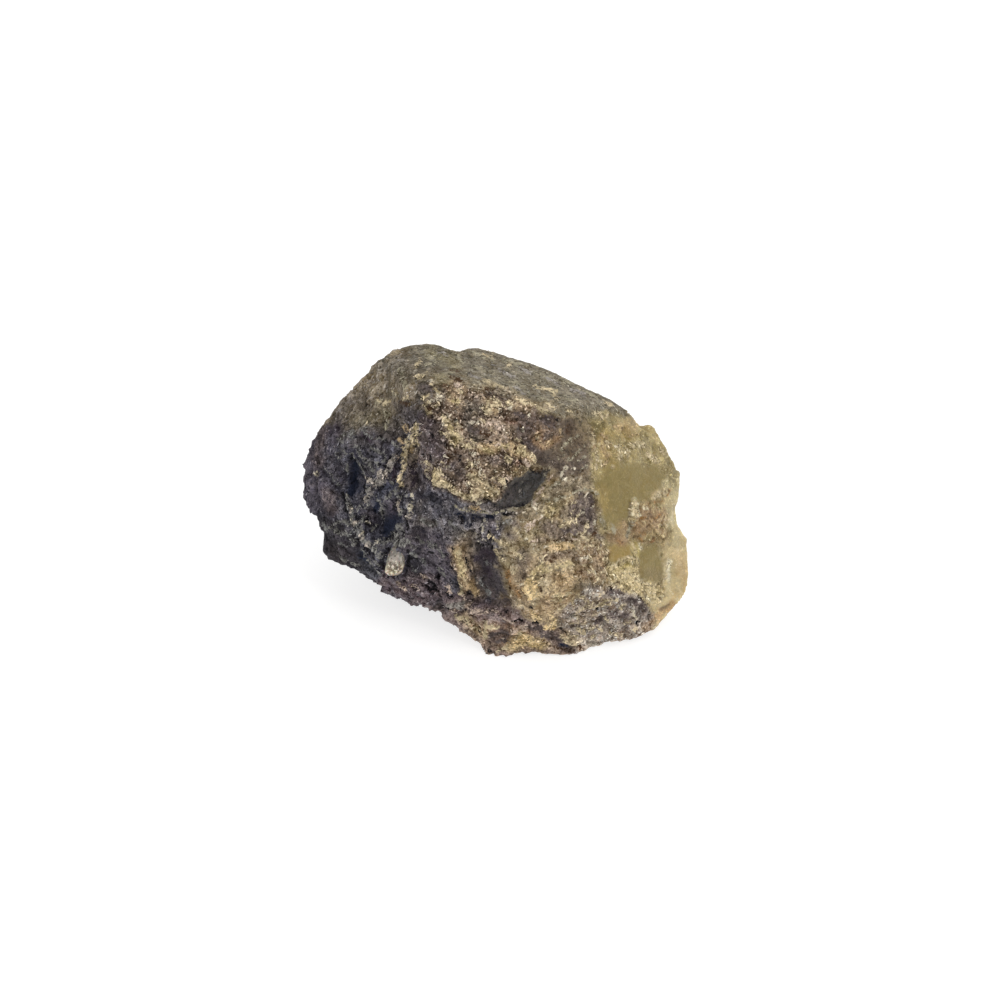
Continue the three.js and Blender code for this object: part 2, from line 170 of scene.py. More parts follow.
# Washes: soft local tints of a zone's colours: colour, strength, half width, and paths
WASHES = [
    # painted shade: blue-black washes in the hollows and dips of the left face, over the rock's own dark blue
    ((0.026, 0.032, 0.058), 0.75, 0.8, [[(-18.3, 4.2), (-18.5, 2.4), (-18.9, 0.9)],
                                        [(-14.2, -3.4), (-13.0, -2.6)]]),
    ((0.030, 0.036, 0.060), 0.70, 0.5, [[(-17.6, -7.0), (-17.2, -8.2)]]),
    ((0.026, 0.032, 0.058), 0.65, 0.5, [[(-14.0, 2.0), (-14.8, 0.8), (-15.0, 0.2)], [(-15.3, -0.6), (-15.6, -1.4)],
                                        [(-13.0, 2.6), (-13.6, 1.4)]]),
    ((0.060, 0.052, 0.066), 0.60, 1.2, [[(-20.6, 4.6), (-20.8, 2.8)], [(-17.4, 8.0), (-15.6, 7.4), (-13.8, 6.6)],
                                        [(-20.6, -5.6), (-19.0, -6.6)], [(-12.0, 11.8), (-11.2, 11.0)]]),
    # its path at (-13.4, 4.2) is painted shade at the left of the pale rib
    ((0.070, 0.052, 0.072), 0.55, 0.9, [[(-20.8, 9.6), (-20.4, 8.8)], [(-16.6, -2.0), (-16.0, -2.6)],
                                        [(-13.4, 4.2), (-13.2, 2.8)], [(-13.2, -0.6), (-13.4, -1.4)]]),
    ((0.165, 0.128, 0.118), 0.60, 0.9, [[(-21.6, 0.8), (-21.3, -1.2)], [(-23.2, 6.2), (-23.0, 4.8)],
                                        [(-22.6, 8.6), (-22.8, 7.4)]]),
    ((0.085, 0.070, 0.070), 0.50, 1.2, [[(-20.8, -6.6), (-20.0, -7.2)], [(-12.6, -5.2), (-10.8, -4.6)]]),
    # partly the rock's own paler colour, partly painted light in a hollow that the relief shades
    ((0.340, 0.285, 0.260), 0.85, 0.8, [[(-11.0, 5.0), (-11.0, 2.8), (-11.2, 1.8)]]),
    ((0.150, 0.120, 0.120), 0.60, 0.6, [[(-10.2, 3.2), (-9.6, 1.4)]]),
    ((0.460, 0.385, 0.300), 0.75, 0.8, [[(-10.8, 6.8), (-10.9, 5.4)]]),
    ((0.055, 0.046, 0.050), 0.55, 0.7, [[(-12.6, 8.6), (-12.4, 7.4)], [(-16.6, 4.6), (-16.0, 3.2)]]),
    # painted shade under the boss's lower ledge
    ((0.050, 0.050, 0.062), 0.60, 0.9, [[(-10.9, -1.0), (-9.4, -1.9), (-8.0, -2.3)]]),
    ((0.140, 0.143, 0.168), 0.75, 0.7, [[(-17.4, -8.9), (-15.9, -10.1)], [(-8.0, -13.8), (-6.8, -14.2)]]),
    ((0.120, 0.108, 0.085), 0.75, 1.8, [[(-11.0, 17.0), (-8.0, 18.0)]]),
    ((0.115, 0.100, 0.092), 0.60, 1.6, [[(-19.4, 12.2), (-17.8, 11.6), (-17.4, 12.8)]]),
    ((0.110, 0.094, 0.080), 0.60, 1.1, [[(-20.6, 10.4), (-18.8, 9.8), (-17.4, 10.2)], [(-14.8, 9.4), (-13.2, 9.0), (-12.6, 10.2)]]),
    ((0.190, 0.162, 0.118), 0.50, 1.5, [[(-15.2, 11.8), (-13.6, 13.6)], [(-12.8, 15.8), (-11.2, 16.8)]]),
    ((0.200, 0.172, 0.100), 0.45, 1.2, [[(-17.8, 10.2), (-15.4, 10.4), (-14.6, 11.2)]]),
    ((0.150, 0.142, 0.122), 0.60, 1.2, [[(-14.6, 17.6), (-13.0, 17.4)], [(-9.2, 14.6), (-9.0, 13.6)]]),
    ((0.082, 0.070, 0.070), 0.55, 1.0, [[(-12.4, 12.2), (-11.4, 11.4)], [(-14.6, 8.4), (-13.4, 8.6)]]),
    ((0.330, 0.290, 0.170), 0.55, 0.9, [[(-8.4, 18.8), (-7.2, 18.4)], [(-5.8, 18.2), (-5.2, 17.2)],
                                        [(-7.6, 15.4), (-6.6, 15.2)]]),
    ((0.310, 0.285, 0.215), 0.40, 1.2, [[(-2.2, 16.0), (1.0, 14.8), (3.6, 13.4)], [(3.2, 16.4), (7.4, 14.6)]]),
    ((0.200, 0.180, 0.140), 0.50, 1.2, [[(-4.0, 17.8), (-2.4, 17.4)]]),
    ((0.340, 0.305, 0.235), 0.50, 1.2, [[(8.4, 14.4), (12.4, 12.8)]]),
    ((0.340, 0.285, 0.150), 0.45, 1.2, [[(11.6, 9.6), (13.4, 10.2), (15.6, 9.8)]]),
    # painted shade in the wedge's cavity
    ((0.045, 0.045, 0.044), 0.40, 0.6, [[(4.6, 3.1), (4.0, 2.4), (3.4, 1.2)]]),
    # painted shade along the boss's left flank
    ((0.070, 0.050, 0.060), 0.75, 0.8, [[(-9.4, 10.2), (-8.2, 9.6)], [(-8.6, 7.6), (-7.2, 6.0)],
                                        [(-9.4, 14.4), (-8.6, 14.2)], [(-8.6, 3.2), (-8.4, 2.4)]]),
    ((0.085, 0.066, 0.058), 0.65, 0.8, [[(-9.0, 11.4), (-7.6, 11.2)], [(-7.2, 14.2), (-6.4, 13.2)], [(-4.2, 11.6), (-3.4, 10.4)],
                                        [(-0.6, 13.6), (1.2, 12.9)], [(-2.4, 12.4), (-1.8, 11.6)], [(-6.6, 3.4), (-5.2, 2.4)],
                                        [(-7.6, 8.8), (-7.4, 7.6)], [(2.2, 4.6), (2.8, 4.4)]]),
    ((0.130, 0.098, 0.072), 0.85, 0.7, [[(4.9, 6.6), (5.4, 5.6)]]),
    ((0.420, 0.330, 0.220), 0.55, 0.7, [[(-0.9, 4.4), (0.4, 3.6)]]),
    ((0.085, 0.065, 0.068), 0.60, 0.8, [[(-0.4, 5.2), (0.8, 5.0), (1.6, 4.4)], [(-4.8, 5.2), (-4.4, 3.0)],
                                        [(-3.4, 9.0), (-2.4, 8.8)], [(3.1, 8.8), (3.4, 7.9)], [(4.3, 7.2), (5.0, 6.4)]]),
    ((0.120, 0.088, 0.080), 0.60, 0.9, [[(3.4, 9.7), (4.4, 9.2)], [(2.8, 10.9), (5.0, 10.6)]]),
    ((0.165, 0.150, 0.120), 0.60, 0.8, [[(-3.8, 12.3), (-2.8, 11.4)], [(-3.8, 9.6), (-2.6, 7.6)]]),
    ((0.220, 0.105, 0.070), 0.60, 0.4, [[(1.3, 10.3), (2.2, 9.9)], [(2.8, 4.9), (3.6, 4.5)]]),
    ((0.660, 0.540, 0.340), 0.85, 0.7, [[(-6.1, 9.5), (-5.5, 8.3), (-5.2, 7.6)], [(-3.0, 3.2), (-2.0, 2.0), (-0.8, 1.4)], [(-1.9, 0.9), (-0.9, 0.4)]]),
    ((0.780, 0.610, 0.450), 0.95, 0.8, [[(-0.4, 10.0), (0.4, 9.4), (1.0, 8.6), (1.3, 7.8)]]),
    ((0.700, 0.520, 0.300), 0.85, 0.6, [[(-1.8, 6.4), (0.0, 6.6), (1.8, 7.0), (3.0, 6.3), (3.8, 5.7)]]),
    ((0.640, 0.520, 0.310), 0.75, 0.4, [[(-7.7, 3.1), (-7.3, 2.4), (-6.0, 1.6), (-4.6, 0.7), (-3.2, 0.2)]]),
    ((0.520, 0.390, 0.240), 0.60, 0.8, [[(-5.3, 14.6), (-4.6, 14.3)], [(-5.6, 13.0), (-5.0, 12.4)], [(-1.4, 12.6), (-0.6, 11.8)],
                                        [(2.6, 12.5), (4.0, 12.2)], [(2.2, 3.8), (2.8, 3.8)]]),
    ((0.400, 0.260, 0.150), 0.75, 0.5, [[(5.5, 8.6), (5.3, 7.6), (5.9, 6.9), (6.9, 7.2), (7.7, 7.8)]]),
    ((0.150, 0.115, 0.100), 0.65, 0.4, [[(6.2, 8.2), (6.5, 8.0)]]),
    ((0.066, 0.052, 0.058), 0.65, 0.6, [[(6.2, 10.5), (7.4, 10.4)], [(6.4, 9.9), (7.2, 9.4)]]),
    ((0.125, 0.100, 0.088), 0.60, 0.9, [[(6.0, 5.2), (7.6, 4.6)], [(8.6, 4.0), (10.8, 4.4)]]),
    ((0.175, 0.130, 0.082), 0.45, 1.2, [[(9.4, 6.6), (10.6, 8.0), (11.4, 9.0)]]),
    ((0.092, 0.064, 0.046), 0.50, 0.8, [[(8.9, 9.6), (9.4, 8.6)]]),
    ((0.215, 0.175, 0.128), 0.75, 1.1, [[(7.6, 0.8), (8.6, 1.8), (11.4, 2.6)]]),
    ((0.235, 0.190, 0.120), 0.60, 0.6, [[(6.7, 1.0), (7.6, 0.4)]]),
    ((0.300, 0.250, 0.140), 0.45, 1.0, [[(4.8, -3.6), (3.6, -5.0)], [(6.8, -1.6), (7.6, -0.8)]]),
    ((0.200, 0.165, 0.120), 0.60, 0.9, [[(2.8, -2.0), (4.4, -1.8), (5.4, -0.8)]]),
    ((0.155, 0.118, 0.105), 0.60, 0.9, [[(6.6, -3.4), (8.2, -4.2)], [(8.8, -1.8), (9.8, -1.4)]]),
    ((0.074, 0.060, 0.062), 0.55, 0.7, [[(1.4, 0.4), (2.2, 1.4)], [(0.6, -1.0), (1.4, -0.8)]]),
    # painted shade under the boss's lower ledge
    ((0.040, 0.042, 0.054), 0.55, 0.7, [[(-8.2, 0.1), (-7.6, -0.3)], [(-5.6, -1.4), (-4.2, -2.2), (-1.0, -2.3)]]),
    ((0.200, 0.165, 0.130), 0.50, 0.6, [[(-3.4, -0.9), (-2.0, -0.9), (-0.4, -1.0)], [(-9.6, -2.6), (-8.2, -3.2)]]),
    ((0.140, 0.132, 0.118), 0.50, 0.9, [[(0.8, -2.8), (1.6, -3.4)], [(-5.2, -3.4), (-4.4, -4.0)]]),
    ((0.090, 0.068, 0.090), 0.60, 0.5, [[(-0.6, -2.8), (-0.5, -3.8)], [(2.2, -3.2), (2.9, -3.4)], [(1.8, -4.4), (2.2, -4.8)]]),
    ((0.240, 0.195, 0.125), 0.50, 0.9, [[(-4.8, -5.0), (-4.4, -6.0)], [(-3.2, -4.6), (-3.0, -6.0)]]),
    ((0.420, 0.330, 0.240), 0.88, 0.9, [[(-4.1, -5.6), (-3.5, -7.0), (-3.2, -8.6)], [(-2.9, -10.6), (-2.4, -12.4)]]),
    ((0.520, 0.375, 0.220), 0.85, 0.9, [[(-5.2, -6.6), (-4.7, -8.0), (-4.3, -9.6), (-3.7, -11.4)]]),
    ((0.400, 0.270, 0.150), 0.65, 0.7, [[(-3.4, -10.6), (-2.9, -12.0)]]),
    ((0.062, 0.047, 0.062), 0.60, 0.7, [[(-1.6, -6.8), (-0.8, -7.4)], [(-2.7, -7.4), (-2.5, -7.7)]]),
    ((0.160, 0.125, 0.115), 0.55, 0.6, [[(-2.6, -9.0), (-2.4, -10.0)], [(-1.8, -11.2), (-0.6, -12.2)]]),
    ((0.380, 0.255, 0.140), 0.75, 0.5, [[(1.7, -9.6), (2.0, -11.0), (2.6, -12.4)]]),
    ((0.040, 0.043, 0.056), 0.70, 1.0, [[(-11.0, -7.4), (-10.4, -9.2)]]),
    ((0.190, 0.140, 0.140), 0.65, 0.5, [[(-1.6, -19.2), (0.4, -19.9), (4.0, -19.8), (10.2, -19.6)]]),
    ((0.160, 0.115, 0.112), 0.80, 0.9, [[(-0.6, -18.2), (0.6, -17.2), (1.6, -17.8)], [(6.0, -17.2), (7.6, -17.9), (8.8, -18.6)]]),
    # the lip's bright tan: partly its own colour, partly painted light on this band, which faces down
    ((0.880, 0.690, 0.400), 0.95, 0.9, [[(2.3, -18.9), (3.2, -17.8), (4.6, -18.3), (5.8, -18.6)]]),
    ((0.840, 0.670, 0.410), 0.90, 0.9, [[(4.9, -9.6), (4.4, -10.7), (4.5, -11.8), (5.0, -12.4)]]),
    ((0.700, 0.580, 0.380), 0.65, 0.8, [[(6.2, -8.9), (8.2, -8.6), (9.6, -8.4)], [(6.0, -10.2), (6.4, -11.6)]]),
    ((0.560, 0.400, 0.225), 0.60, 1.1, [[(8.6, -10.0), (8.9, -12.2)], [(7.0, -13.0), (6.4, -14.0)]]),
    ((0.140, 0.110, 0.094), 0.85, 0.9, [[(3.3, -7.2), (3.6, -8.6), (3.3, -9.6)]]),
    ((0.225, 0.175, 0.140), 0.75, 0.9, [[(6.7, -3.2), (7.4, -4.4), (8.8, -4.6)]]),
    ((0.235, 0.175, 0.130), 0.75, 0.6, [[(6.4, -7.3), (8.4, -7.1), (9.8, -6.9)], [(5.2, -5.4), (6.2, -5.2)]]),
    ((0.215, 0.155, 0.110), 0.60, 0.6, [[(7.2, -7.3), (8.0, -7.2)], [(5.9, -13.2), (6.6, -13.4)]]),
    ((0.150, 0.124, 0.104), 0.65, 0.7, [[(11.0, -11.4), (12.8, -11.3)]]),
    ((0.520, 0.420, 0.200), 0.55, 0.8, [[(16.2, 6.2), (17.2, 5.8)], [(20.0, 5.4), (20.8, 5.2)], [(13.2, 5.4), (13.0, 3.8)]]),
    ((0.330, 0.245, 0.095), 0.50, 1.0, [[(14.2, 6.2), (15.0, 5.0)], [(13.6, 0.6), (13.8, -1.0)], [(14.4, 8.6), (17.6, 8.6)]]),
    ((0.640, 0.500, 0.300), 0.60, 0.6, [[(20.4, 0.3), (21.6, 0.9)]]),
    ((0.560, 0.410, 0.225), 0.55, 0.8, [[(16.2, 9.2), (18.0, 9.8)], [(13.8, 7.6), (14.0, 6.0)]]),
    ((0.600, 0.490, 0.250), 0.60, 0.7, [[(18.6, 9.2), (20.0, 9.0)], [(20.6, 7.8), (21.6, 6.8)]]),
    ((0.340, 0.215, 0.135), 0.60, 0.6, [[(14.4, -4.8), (15.8, -5.4)], [(15.9, -4.4), (16.5, -5.2)]]),
    ((0.330, 0.225, 0.140), 0.45, 0.9, [[(19.2, -1.8), (20.4, -3.0)], [(16.4, -3.6), (18.4, -4.2)]]),
    ((0.560, 0.500, 0.320), 0.55, 0.7, [[(22.4, -1.4), (22.6, -3.4)], [(21.8, 1.8), (22.4, 0.6)]]),
    ((0.520, 0.430, 0.160), 0.55, 0.5, [[(17.8, -6.0), (17.9, -7.2)], [(16.8, -8.4), (15.6, -9.0)]]),
    ((0.240, 0.190, 0.110), 0.55, 0.8, [[(19.8, -9.6), (21.0, -9.8)]]),
    ((0.690, 0.600, 0.390), 0.75, 0.35, [[(22.2, -7.9), (21.95, -9.2), (22.1, -10.6), (22.3, -11.6)]]),
    ((0.700, 0.580, 0.350), 0.60, 0.8, [[(19.8, -11.4), (20.8, -11.6)]]),
    ((0.640, 0.480, 0.280), 0.45, 0.9, [[(23.4, -7.4), (24.2, -9.6)]]),
    ((0.400, 0.320, 0.180), 0.55, 0.9, [[(21.9, -5.6), (22.4, -7.0)], [(22.1, 0.6), (22.3, -0.6)]]),
    ((0.480, 0.430, 0.270), 0.45, 1.1, [[(23.2, 2.6), (23.3, 0.4), (23.0, -3.0), (23.4, -5.4)]]),
    ((0.470, 0.290, 0.150), 0.65, 0.5, [[(22.9, -13.5), (21.6, -14.4), (20.7, -15.3)], [(19.8, -16.0), (19.2, -16.8)]]),
    ((0.150, 0.122, 0.112), 0.70, 0.9, [[(15.0, -12.2), (16.2, -12.3)], [(17.2, -13.3), (18.6, -13.4)],
                                        [(14.6, -14.8), (15.8, -14.6), (16.8, -15.0)], [(18.6, -14.6), (19.2, -14.8)]]),
    ((0.160, 0.130, 0.118), 0.60, 0.6, [[(8.8, -15.0), (9.6, -14.8)], [(15.8, -16.4), (16.8, -16.6)]]),
    ((0.190, 0.155, 0.135), 0.55, 0.9, [[(12.4, -17.2), (13.6, -16.6), (14.4, -15.8)], [(9.4, -17.2), (10.4, -17.0)]]),
    ((0.100, 0.070, 0.076), 0.60, 0.8, [[(-7.6, -12.8), (-6.8, -13.0)], [(-3.6, -13.2), (-1.6, -13.9), (0.6, -14.2)],
                                        [(4.6, -16.4), (5.6, -16.6)], [(-2.8, -13.4), (-2.2, -13.4)],
                                        [(0.8, -13.0), (2.0, -13.3)]]),
    ((0.330, 0.285, 0.245), 0.80, 0.5, [[(-5.9, -13.6), (-4.2, -13.7)]]),
    ((0.560, 0.430, 0.240), 0.60, 0.7, [[(-4.4, -15.2), (-3.6, -15.6)], [(-2.8, -16.6), (-2.2, -17.2)],
                                        [(3.2, -18.2), (4.4, -18.0)], [(9.4, -17.9), (10.2, -18.3)]]),
    ((0.200, 0.160, 0.150), 0.60, 0.5, [[(-8.0, -14.4), (-6.0, -15.6), (-4.0, -17.0), (-2.4, -18.2)],
                                        [(5.8, -17.0), (7.6, -17.0), (8.4, -17.8)]]),
    ((0.055, 0.050, 0.062), 0.70, 0.4, [[(8.4, -18.8), (9.6, -19.0)], [(-8.7, -10.9), (-8.0, -11.5)]]),
]

# Strokes and dabs over the zones: colour, strength, half width, height, and the places that each one
# runs through. A strength near a half is broken into grains, and one above 1 is solid.
STROKE_COLOURS = {
    "white": (0.68, 0.61, 0.47),
    "milk": (0.84, 0.755, 0.540),
    "cream": (0.62, 0.515, 0.335),
    "rose": (0.58, 0.46, 0.37),
    "butter": (0.62, 0.505, 0.295),
    "straw grey": (0.36, 0.325, 0.235),
    "apricot": (0.74, 0.555, 0.330),
    "corn": (0.86, 0.66, 0.37),
    "bone": (0.62, 0.54, 0.46),
    "ash": (0.235, 0.228, 0.210),
    "tan": (0.46, 0.34, 0.20),
    "gold": (0.48, 0.35, 0.13),
    "orange": (0.38, 0.22, 0.10),
    "pale grey": (0.34, 0.31, 0.28),
    "blue grey": (0.21, 0.21, 0.20),
    "violet": (0.064, 0.049, 0.062),
    "plum": (0.135, 0.106, 0.098),
    # navy marks are painted shade: the rock's blue-black deepened in hollows and under ledges
    "navy shade": (0.020, 0.025, 0.046),
    # black marks are painted shade: the dark inside cracks, pits, holes and gaps, each laid in a dent
    "black": (0.010, 0.009, 0.011),
    "umber": (0.078, 0.042, 0.022),
}
DARK_STROKES = ("violet", "plum", "navy shade", "black", "umber")
STROKES = [
    # the left face: its ribs
    ("cream", 0.75, 0.42, 0.35, [[(-10.2, 9.6), (-10.1, 8.8)], [(-10.5, 8.1), (-10.4, 7.4)], [(-11.5, 7.6), (-11.3, 7.0)]]),
    ("butter", 0.90, 0.30, 0.20, [[(-10.3, 9.3), (-10.0, 8.8)]]),
    ("white", 1.20, 0.20, 0.25, [[(-10.6, 7.9)], [(-11.4, 7.2)], [(-11.9, 6.5), (-11.9, 6.1)], [(-12.4, 2.9), (-12.3, 2.4)],
                                [(-9.9, 9.0)], [(-11.0, 8.2)], [(-12.1, 4.4)]]),
    ("cream", 1.20, 0.31, 0.45, [[(-11.9, 6.6), (-11.9, 5.8), (-12.1, 4.8)], [(-12.0, 4.5), (-12.2, 3.5)],
                                 [(-12.5, 3.0), (-12.4, 2.4), (-12.3, 1.8)]]),
    ("tan", 0.65, 0.28, 0.3, [[(-11.0, 6.6), (-10.9, 6.2)], [(-11.6, 9.4), (-11.3, 8.9)], [(-12.5, 7.8), (-12.3, 7.4)]]),
    ("pale grey", 0.80, 0.36, 0.35, [[(-13.0, 5.5), (-13.8, 4.2), (-14.4, 3.3), (-15.0, 2.3), (-15.8, 2.2)],
                                     [(-15.9, 1.4), (-16.3, 0.7), (-16.8, 0.0)], [(-14.5, 2.4), (-15.3, 1.9)]]),
    ("bone", 1.25, 0.21, 0.3, [[(-13.1, 5.2), (-13.4, 4.8)], [(-13.7, 4.4), (-14.1, 3.8)], [(-14.9, 3.7), (-15.0, 3.0)],
                                [(-14.3, 3.0), (-14.6, 2.6)], [(-15.2, 2.2), (-16.2, 2.4), (-16.8, 2.8)],
                                [(-16.2, 0.8), (-16.6, 0.3), (-16.9, -0.2)], [(-14.3, 3.5), (-14.2, 3.1)]]),
    ("rose", 0.85, 0.16, 0.2, [[(-13.6, 5.0), (-13.9, 4.5)], [(-15.6, 1.9), (-16.0, 1.2)], [(-12.9, 5.7), (-12.7, 5.3)]]),
    ("ash", 0.95, 0.16, 0.2, [[(-17.8, 6.2), (-17.3, 5.6), (-17.0, 5.0)], [(-16.6, 4.9), (-16.0, 4.0), (-15.6, 3.4)],
                                    [(-15.5, 4.9), (-15.1, 4.2)], [(-15.6, 6.4), (-15.0, 6.0), (-14.6, 6.0)],
                                    [(-16.3, 6.8), (-15.8, 6.6)], [(-18.6, 8.9), (-18.8, 8.0), (-18.2, 7.6)],
                                    [(-18.6, 5.9), (-18.2, 5.2)], [(-19.3, 4.6), (-19.3, 3.6)], [(-17.4, 9.0), (-16.6, 9.1)],
                                    [(-16.6, 1.6), (-15.8, 1.2)], [(-13.9, 0.4), (-13.4, 1.0), (-12.8, 1.3)],
                                    [(-14.4, 5.6), (-14.4, 5.0)], [(-18.1, 7.0), (-17.7, 6.8)], [(-20.4, 7.8), (-19.8, 7.4)],
                                    [(-19.7, 8.4), (-19.1, 8.6)], [(-19.9, 6.4), (-19.4, 6.0)], [(-17.8, 4.6), (-17.3, 3.9)],
                                    [(-17.2, 3.4), (-16.9, 3.1)], [(-13.9, 2.9), (-13.5, 2.2)], [(-15.4, 0.4), (-14.8, -0.4)],
                                    [(-13.0, 0.6), (-12.4, 0.2)], [(-17.8, -1.4), (-17.4, -0.7)], [(-12.4, -1.8), (-12.0, -1.2)],
                                    [(-16.0, -3.9), (-15.6, -3.4)], [(-20.6, 6.0), (-20.3, 5.3)], [(-21.8, 4.0), (-21.4, 3.4)],
                                    [(-12.0, 0.9), (-11.6, 0.5)], [(-13.4, 7.4), (-12.9, 6.9)], [(-15.2, 7.9), (-14.6, 7.6)]]),
    ("ash", 0.90, 0.16, 0.2, [[(-14.4, -0.2), (-14.6, -1.0), (-15.0, -1.6)], [(-16.8, -1.0), (-16.4, -0.6)],
                                    [(-12.8, -3.3), (-12.2, -3.2)], [(-14.6, -2.4), (-14.9, -1.9)],
                                    [(-12.0, -4.8), (-11.2, -5.4), (-10.4, -6.2)], [(-17.4, -3.0), (-17.0, -2.0)],
                                    [(-15.4, -6.6), (-14.6, -7.2)], [(-21.4, -3.6), (-20.6, -3.0), (-19.9, -2.8)],
                                    [(-19.6, -2.7), (-19.2, -3.2)], [(-19.0, -8.2), (-18.4, -8.8)],
                                    [(-16.9, -7.2), (-16.4, -8.0), (-16.2, -8.6)], [(-16.0, -9.4), (-15.2, -9.8)],
                                    [(-20.9, -4.0), (-20.3, -4.3)], [(-19.9, -4.4), (-19.3, -4.2)], [(-20.0, -7.4), (-19.5, -7.9)],
                                    [(-15.7, -7.8), (-15.3, -8.6)], [(-18.6, -5.2), (-18.2, -5.8)]]),
    ("blue grey", 0.80, 0.20, 0.1, [[(-22.4, -3.2), (-21.8, -3.8)], [(-20.2, -5.6), (-19.4, -6.0)], [(-17.2, -6.6), (-16.8, -7.4)],
                                    [(-11.0, -6.8), (-10.6, -7.2)], [(-10.9, -8.9), (-10.4, -9.4)], [(-9.8, -7.7), (-9.3, -8.1)],
                                    [(-18.4, -3.8), (-19.0, -4.6)], [(-16.9, 8.4), (-16.2, 8.0)], [(-20.9, 2.6), (-20.4, 1.9)]]),
    ("ash", 0.75, 0.45, 0.15, [[(-14.9, -5.3), (-13.9, -5.1), (-13.0, -4.4), (-12.4, -3.7)], [(-12.9, -5.4), (-12.1, -5.6)]]),
    ("white", 1.15, 0.17, 0.3, [[(-11.0, -0.6), (-11.0, -1.5)], [(-16.7, -2.8), (-16.4, -3.2)], [(-18.4, -2.7)],
                               [(-10.8, 0.6), (-10.9, 0.3)], [(-18.6, -1.4)], [(-15.6, -5.5)], [(-23.3, 3.3)], [(-17.3, -4.3)],
                               [(-19.2, 0.3)], [(-16.5, -5.4)]]),
    ("bone", 1.10, 0.18, 0.2, [[(-11.4, -2.2), (-11.0, -2.0)], [(-12.8, -0.2), (-12.7, -1.3)], [(-11.3, -2.5)],
                                [(-18.6, -3.4), (-18.0, -2.9)],
                                [(-18.9, -0.9), (-18.6, -1.8)], [(-17.3, -4.6), (-16.9, -5.0)], [(-16.6, -5.4), (-16.2, -6.0)]]),
    ("ash", 0.65, 0.30, 0.4, [[(-19.3, 0.3), (-18.8, -1.2), (-18.4, -3.0), (-17.6, -4.3)], [(-17.2, -4.8), (-16.2, -6.0)],
                                     [(-15.8, -6.4), (-15.0, -7.2)]]),
    # painted shade in the cracks beside the ribs
    ("black", 1.10, 0.13, -0.4, [[(-19.9, 1.0), (-19.7, -0.2), (-19.4, -1.6), (-18.9, -3.0), (-18.3, -4.2), (-17.5, -5.4)],
                                [(-17.0, -6.2), (-16.3, -7.1), (-15.8, -7.8)], [(-13.0, 4.4), (-13.2, 3.4), (-13.1, 2.6)],
                                [(-15.2, 4.6), (-14.5, 4.4), (-14.4, 4.0)], [(-17.4, 2.2), (-16.9, 1.4), (-17.0, 0.2)],
                                [(-17.7, 0.2), (-17.2, 0.0)], [(-16.9, -2.6), (-16.6, -3.1), (-16.3, -3.4)],
                                [(-16.6, -2.4), (-16.1, -3.1)], [(-11.3, 4.9), (-11.1, 5.1), (-10.6, 4.9)], [(-11.8, 1.8), (-12.0, 1.4)],
                                [(-10.5, 4.6), (-10.4, 3.2), (-10.5, 1.8), (-11.0, 1.1)], [(-11.7, -1.2), (-11.8, -2.4), (-11.5, -3.8)],
                                [(-15.2, 1.5), (-14.4, 1.8), (-14.1, 1.9)], [(-14.4, -5.0), (-13.4, -4.6), (-12.8, -4.0)],
                                [(-18.2, -2.0), (-18.1, -2.6)], [(-15.9, -5.0), (-15.8, -5.4)], [(-15.4, 2.0), (-16.2, 1.7)],
                                [(-12.5, 6.4), (-12.9, 5.8)], [(-13.6, 5.4), (-14.0, 4.8)], [(-13.2, 0.0), (-13.1, -1.4)],
                                [(-18.9, 5.2), (-18.4, 5.0)]]),
    # painted shade in pits
    ("black", 1.00, 0.13, -0.2, [[(-16.3, 6.3)], [(-15.8, 6.2)], [(-16.2, 5.6)], [(-15.0, 6.6)], [(-14.7, 5.4)], [(-14.7, 3.5)],
                                [(-12.5, 3.9)], [(-12.0, 3.1)], [(-16.4, 4.1)], [(-12.4, 1.5)], [(-18.8, 2.1)], [(-12.3, -6.9)],
                                [(-11.0, 0.2)], [(-11.5, 6.4)], [(-10.2, 8.3)], [(-11.3, 9.4)], [(-10.6, 6.9)], [(-17.0, 2.6)],
                                [(-19.4, 6.6)], [(-19.2, 9.8)], [(-18.2, 8.1)], [(-15.1, 8.2)], [(-14.2, 7.6)], [(-12.2, 5.1)],
                                [(-15.4, 5.5)], [(-16.8, 6.0)], [(-17.6, 6.9)], [(-14.2, 6.4)], [(-12.9, 4.6)], [(-18.0, -3.6)],
                                [(-16.9, -4.5)], [(-17.8, -2.4)], [(-12.2, -0.6)], [(-11.3, -8.9)], [(-19.9, -3.4)], [(-21.0, -4.7)]]),
    # painted shade in the left face's hollows, in blue-black
    ("navy shade", 0.85, 0.30, -0.4, [[(-18.3, 4.6), (-18.4, 2.6), (-18.8, 0.8)], [(-14.6, -4.4), (-13.6, -3.4), (-13.2, -2.4)],
                                [(-15.2, -0.5), (-15.7, -1.4)], [(-17.4, -6.9), (-17.3, -8.4)], [(-16.8, -8.3), (-16.6, -8.8)]]),
    # its stroke at (-13.4, 3.8) is painted shade at the left of the pale rib
    ("violet", 0.80, 0.26, -0.35, [[(-11.0, 4.4), (-10.9, 3.2), (-10.9, 1.8)], [(-13.4, 3.8), (-13.4, 2.8)],
                                   [(-17.2, 8.2), (-16.2, 7.6)], [(-20.6, 9.4), (-20.4, 8.8)]]),
    # the boss: pale crumbs
    ("white", 0.95, 0.19, 0.25, [[(-7.8, 13.6), (-7.6, 12.9)], [(-7.1, 13.3)], [(-6.9, 12.8)], [(-6.8, 9.8)],
                                [(-5.2, 10.2)], [(-3.2, 6.1), (-2.7, 5.8)], [(-2.9, 4.6), (-2.4, 4.8)], [(-3.4, 4.3)],
                                [(-6.7, 5.6)], [(-9.3, 4.8)], [(-8.8, 2.8)], [(-3.6, 1.9)], [(1.1, 1.6)],
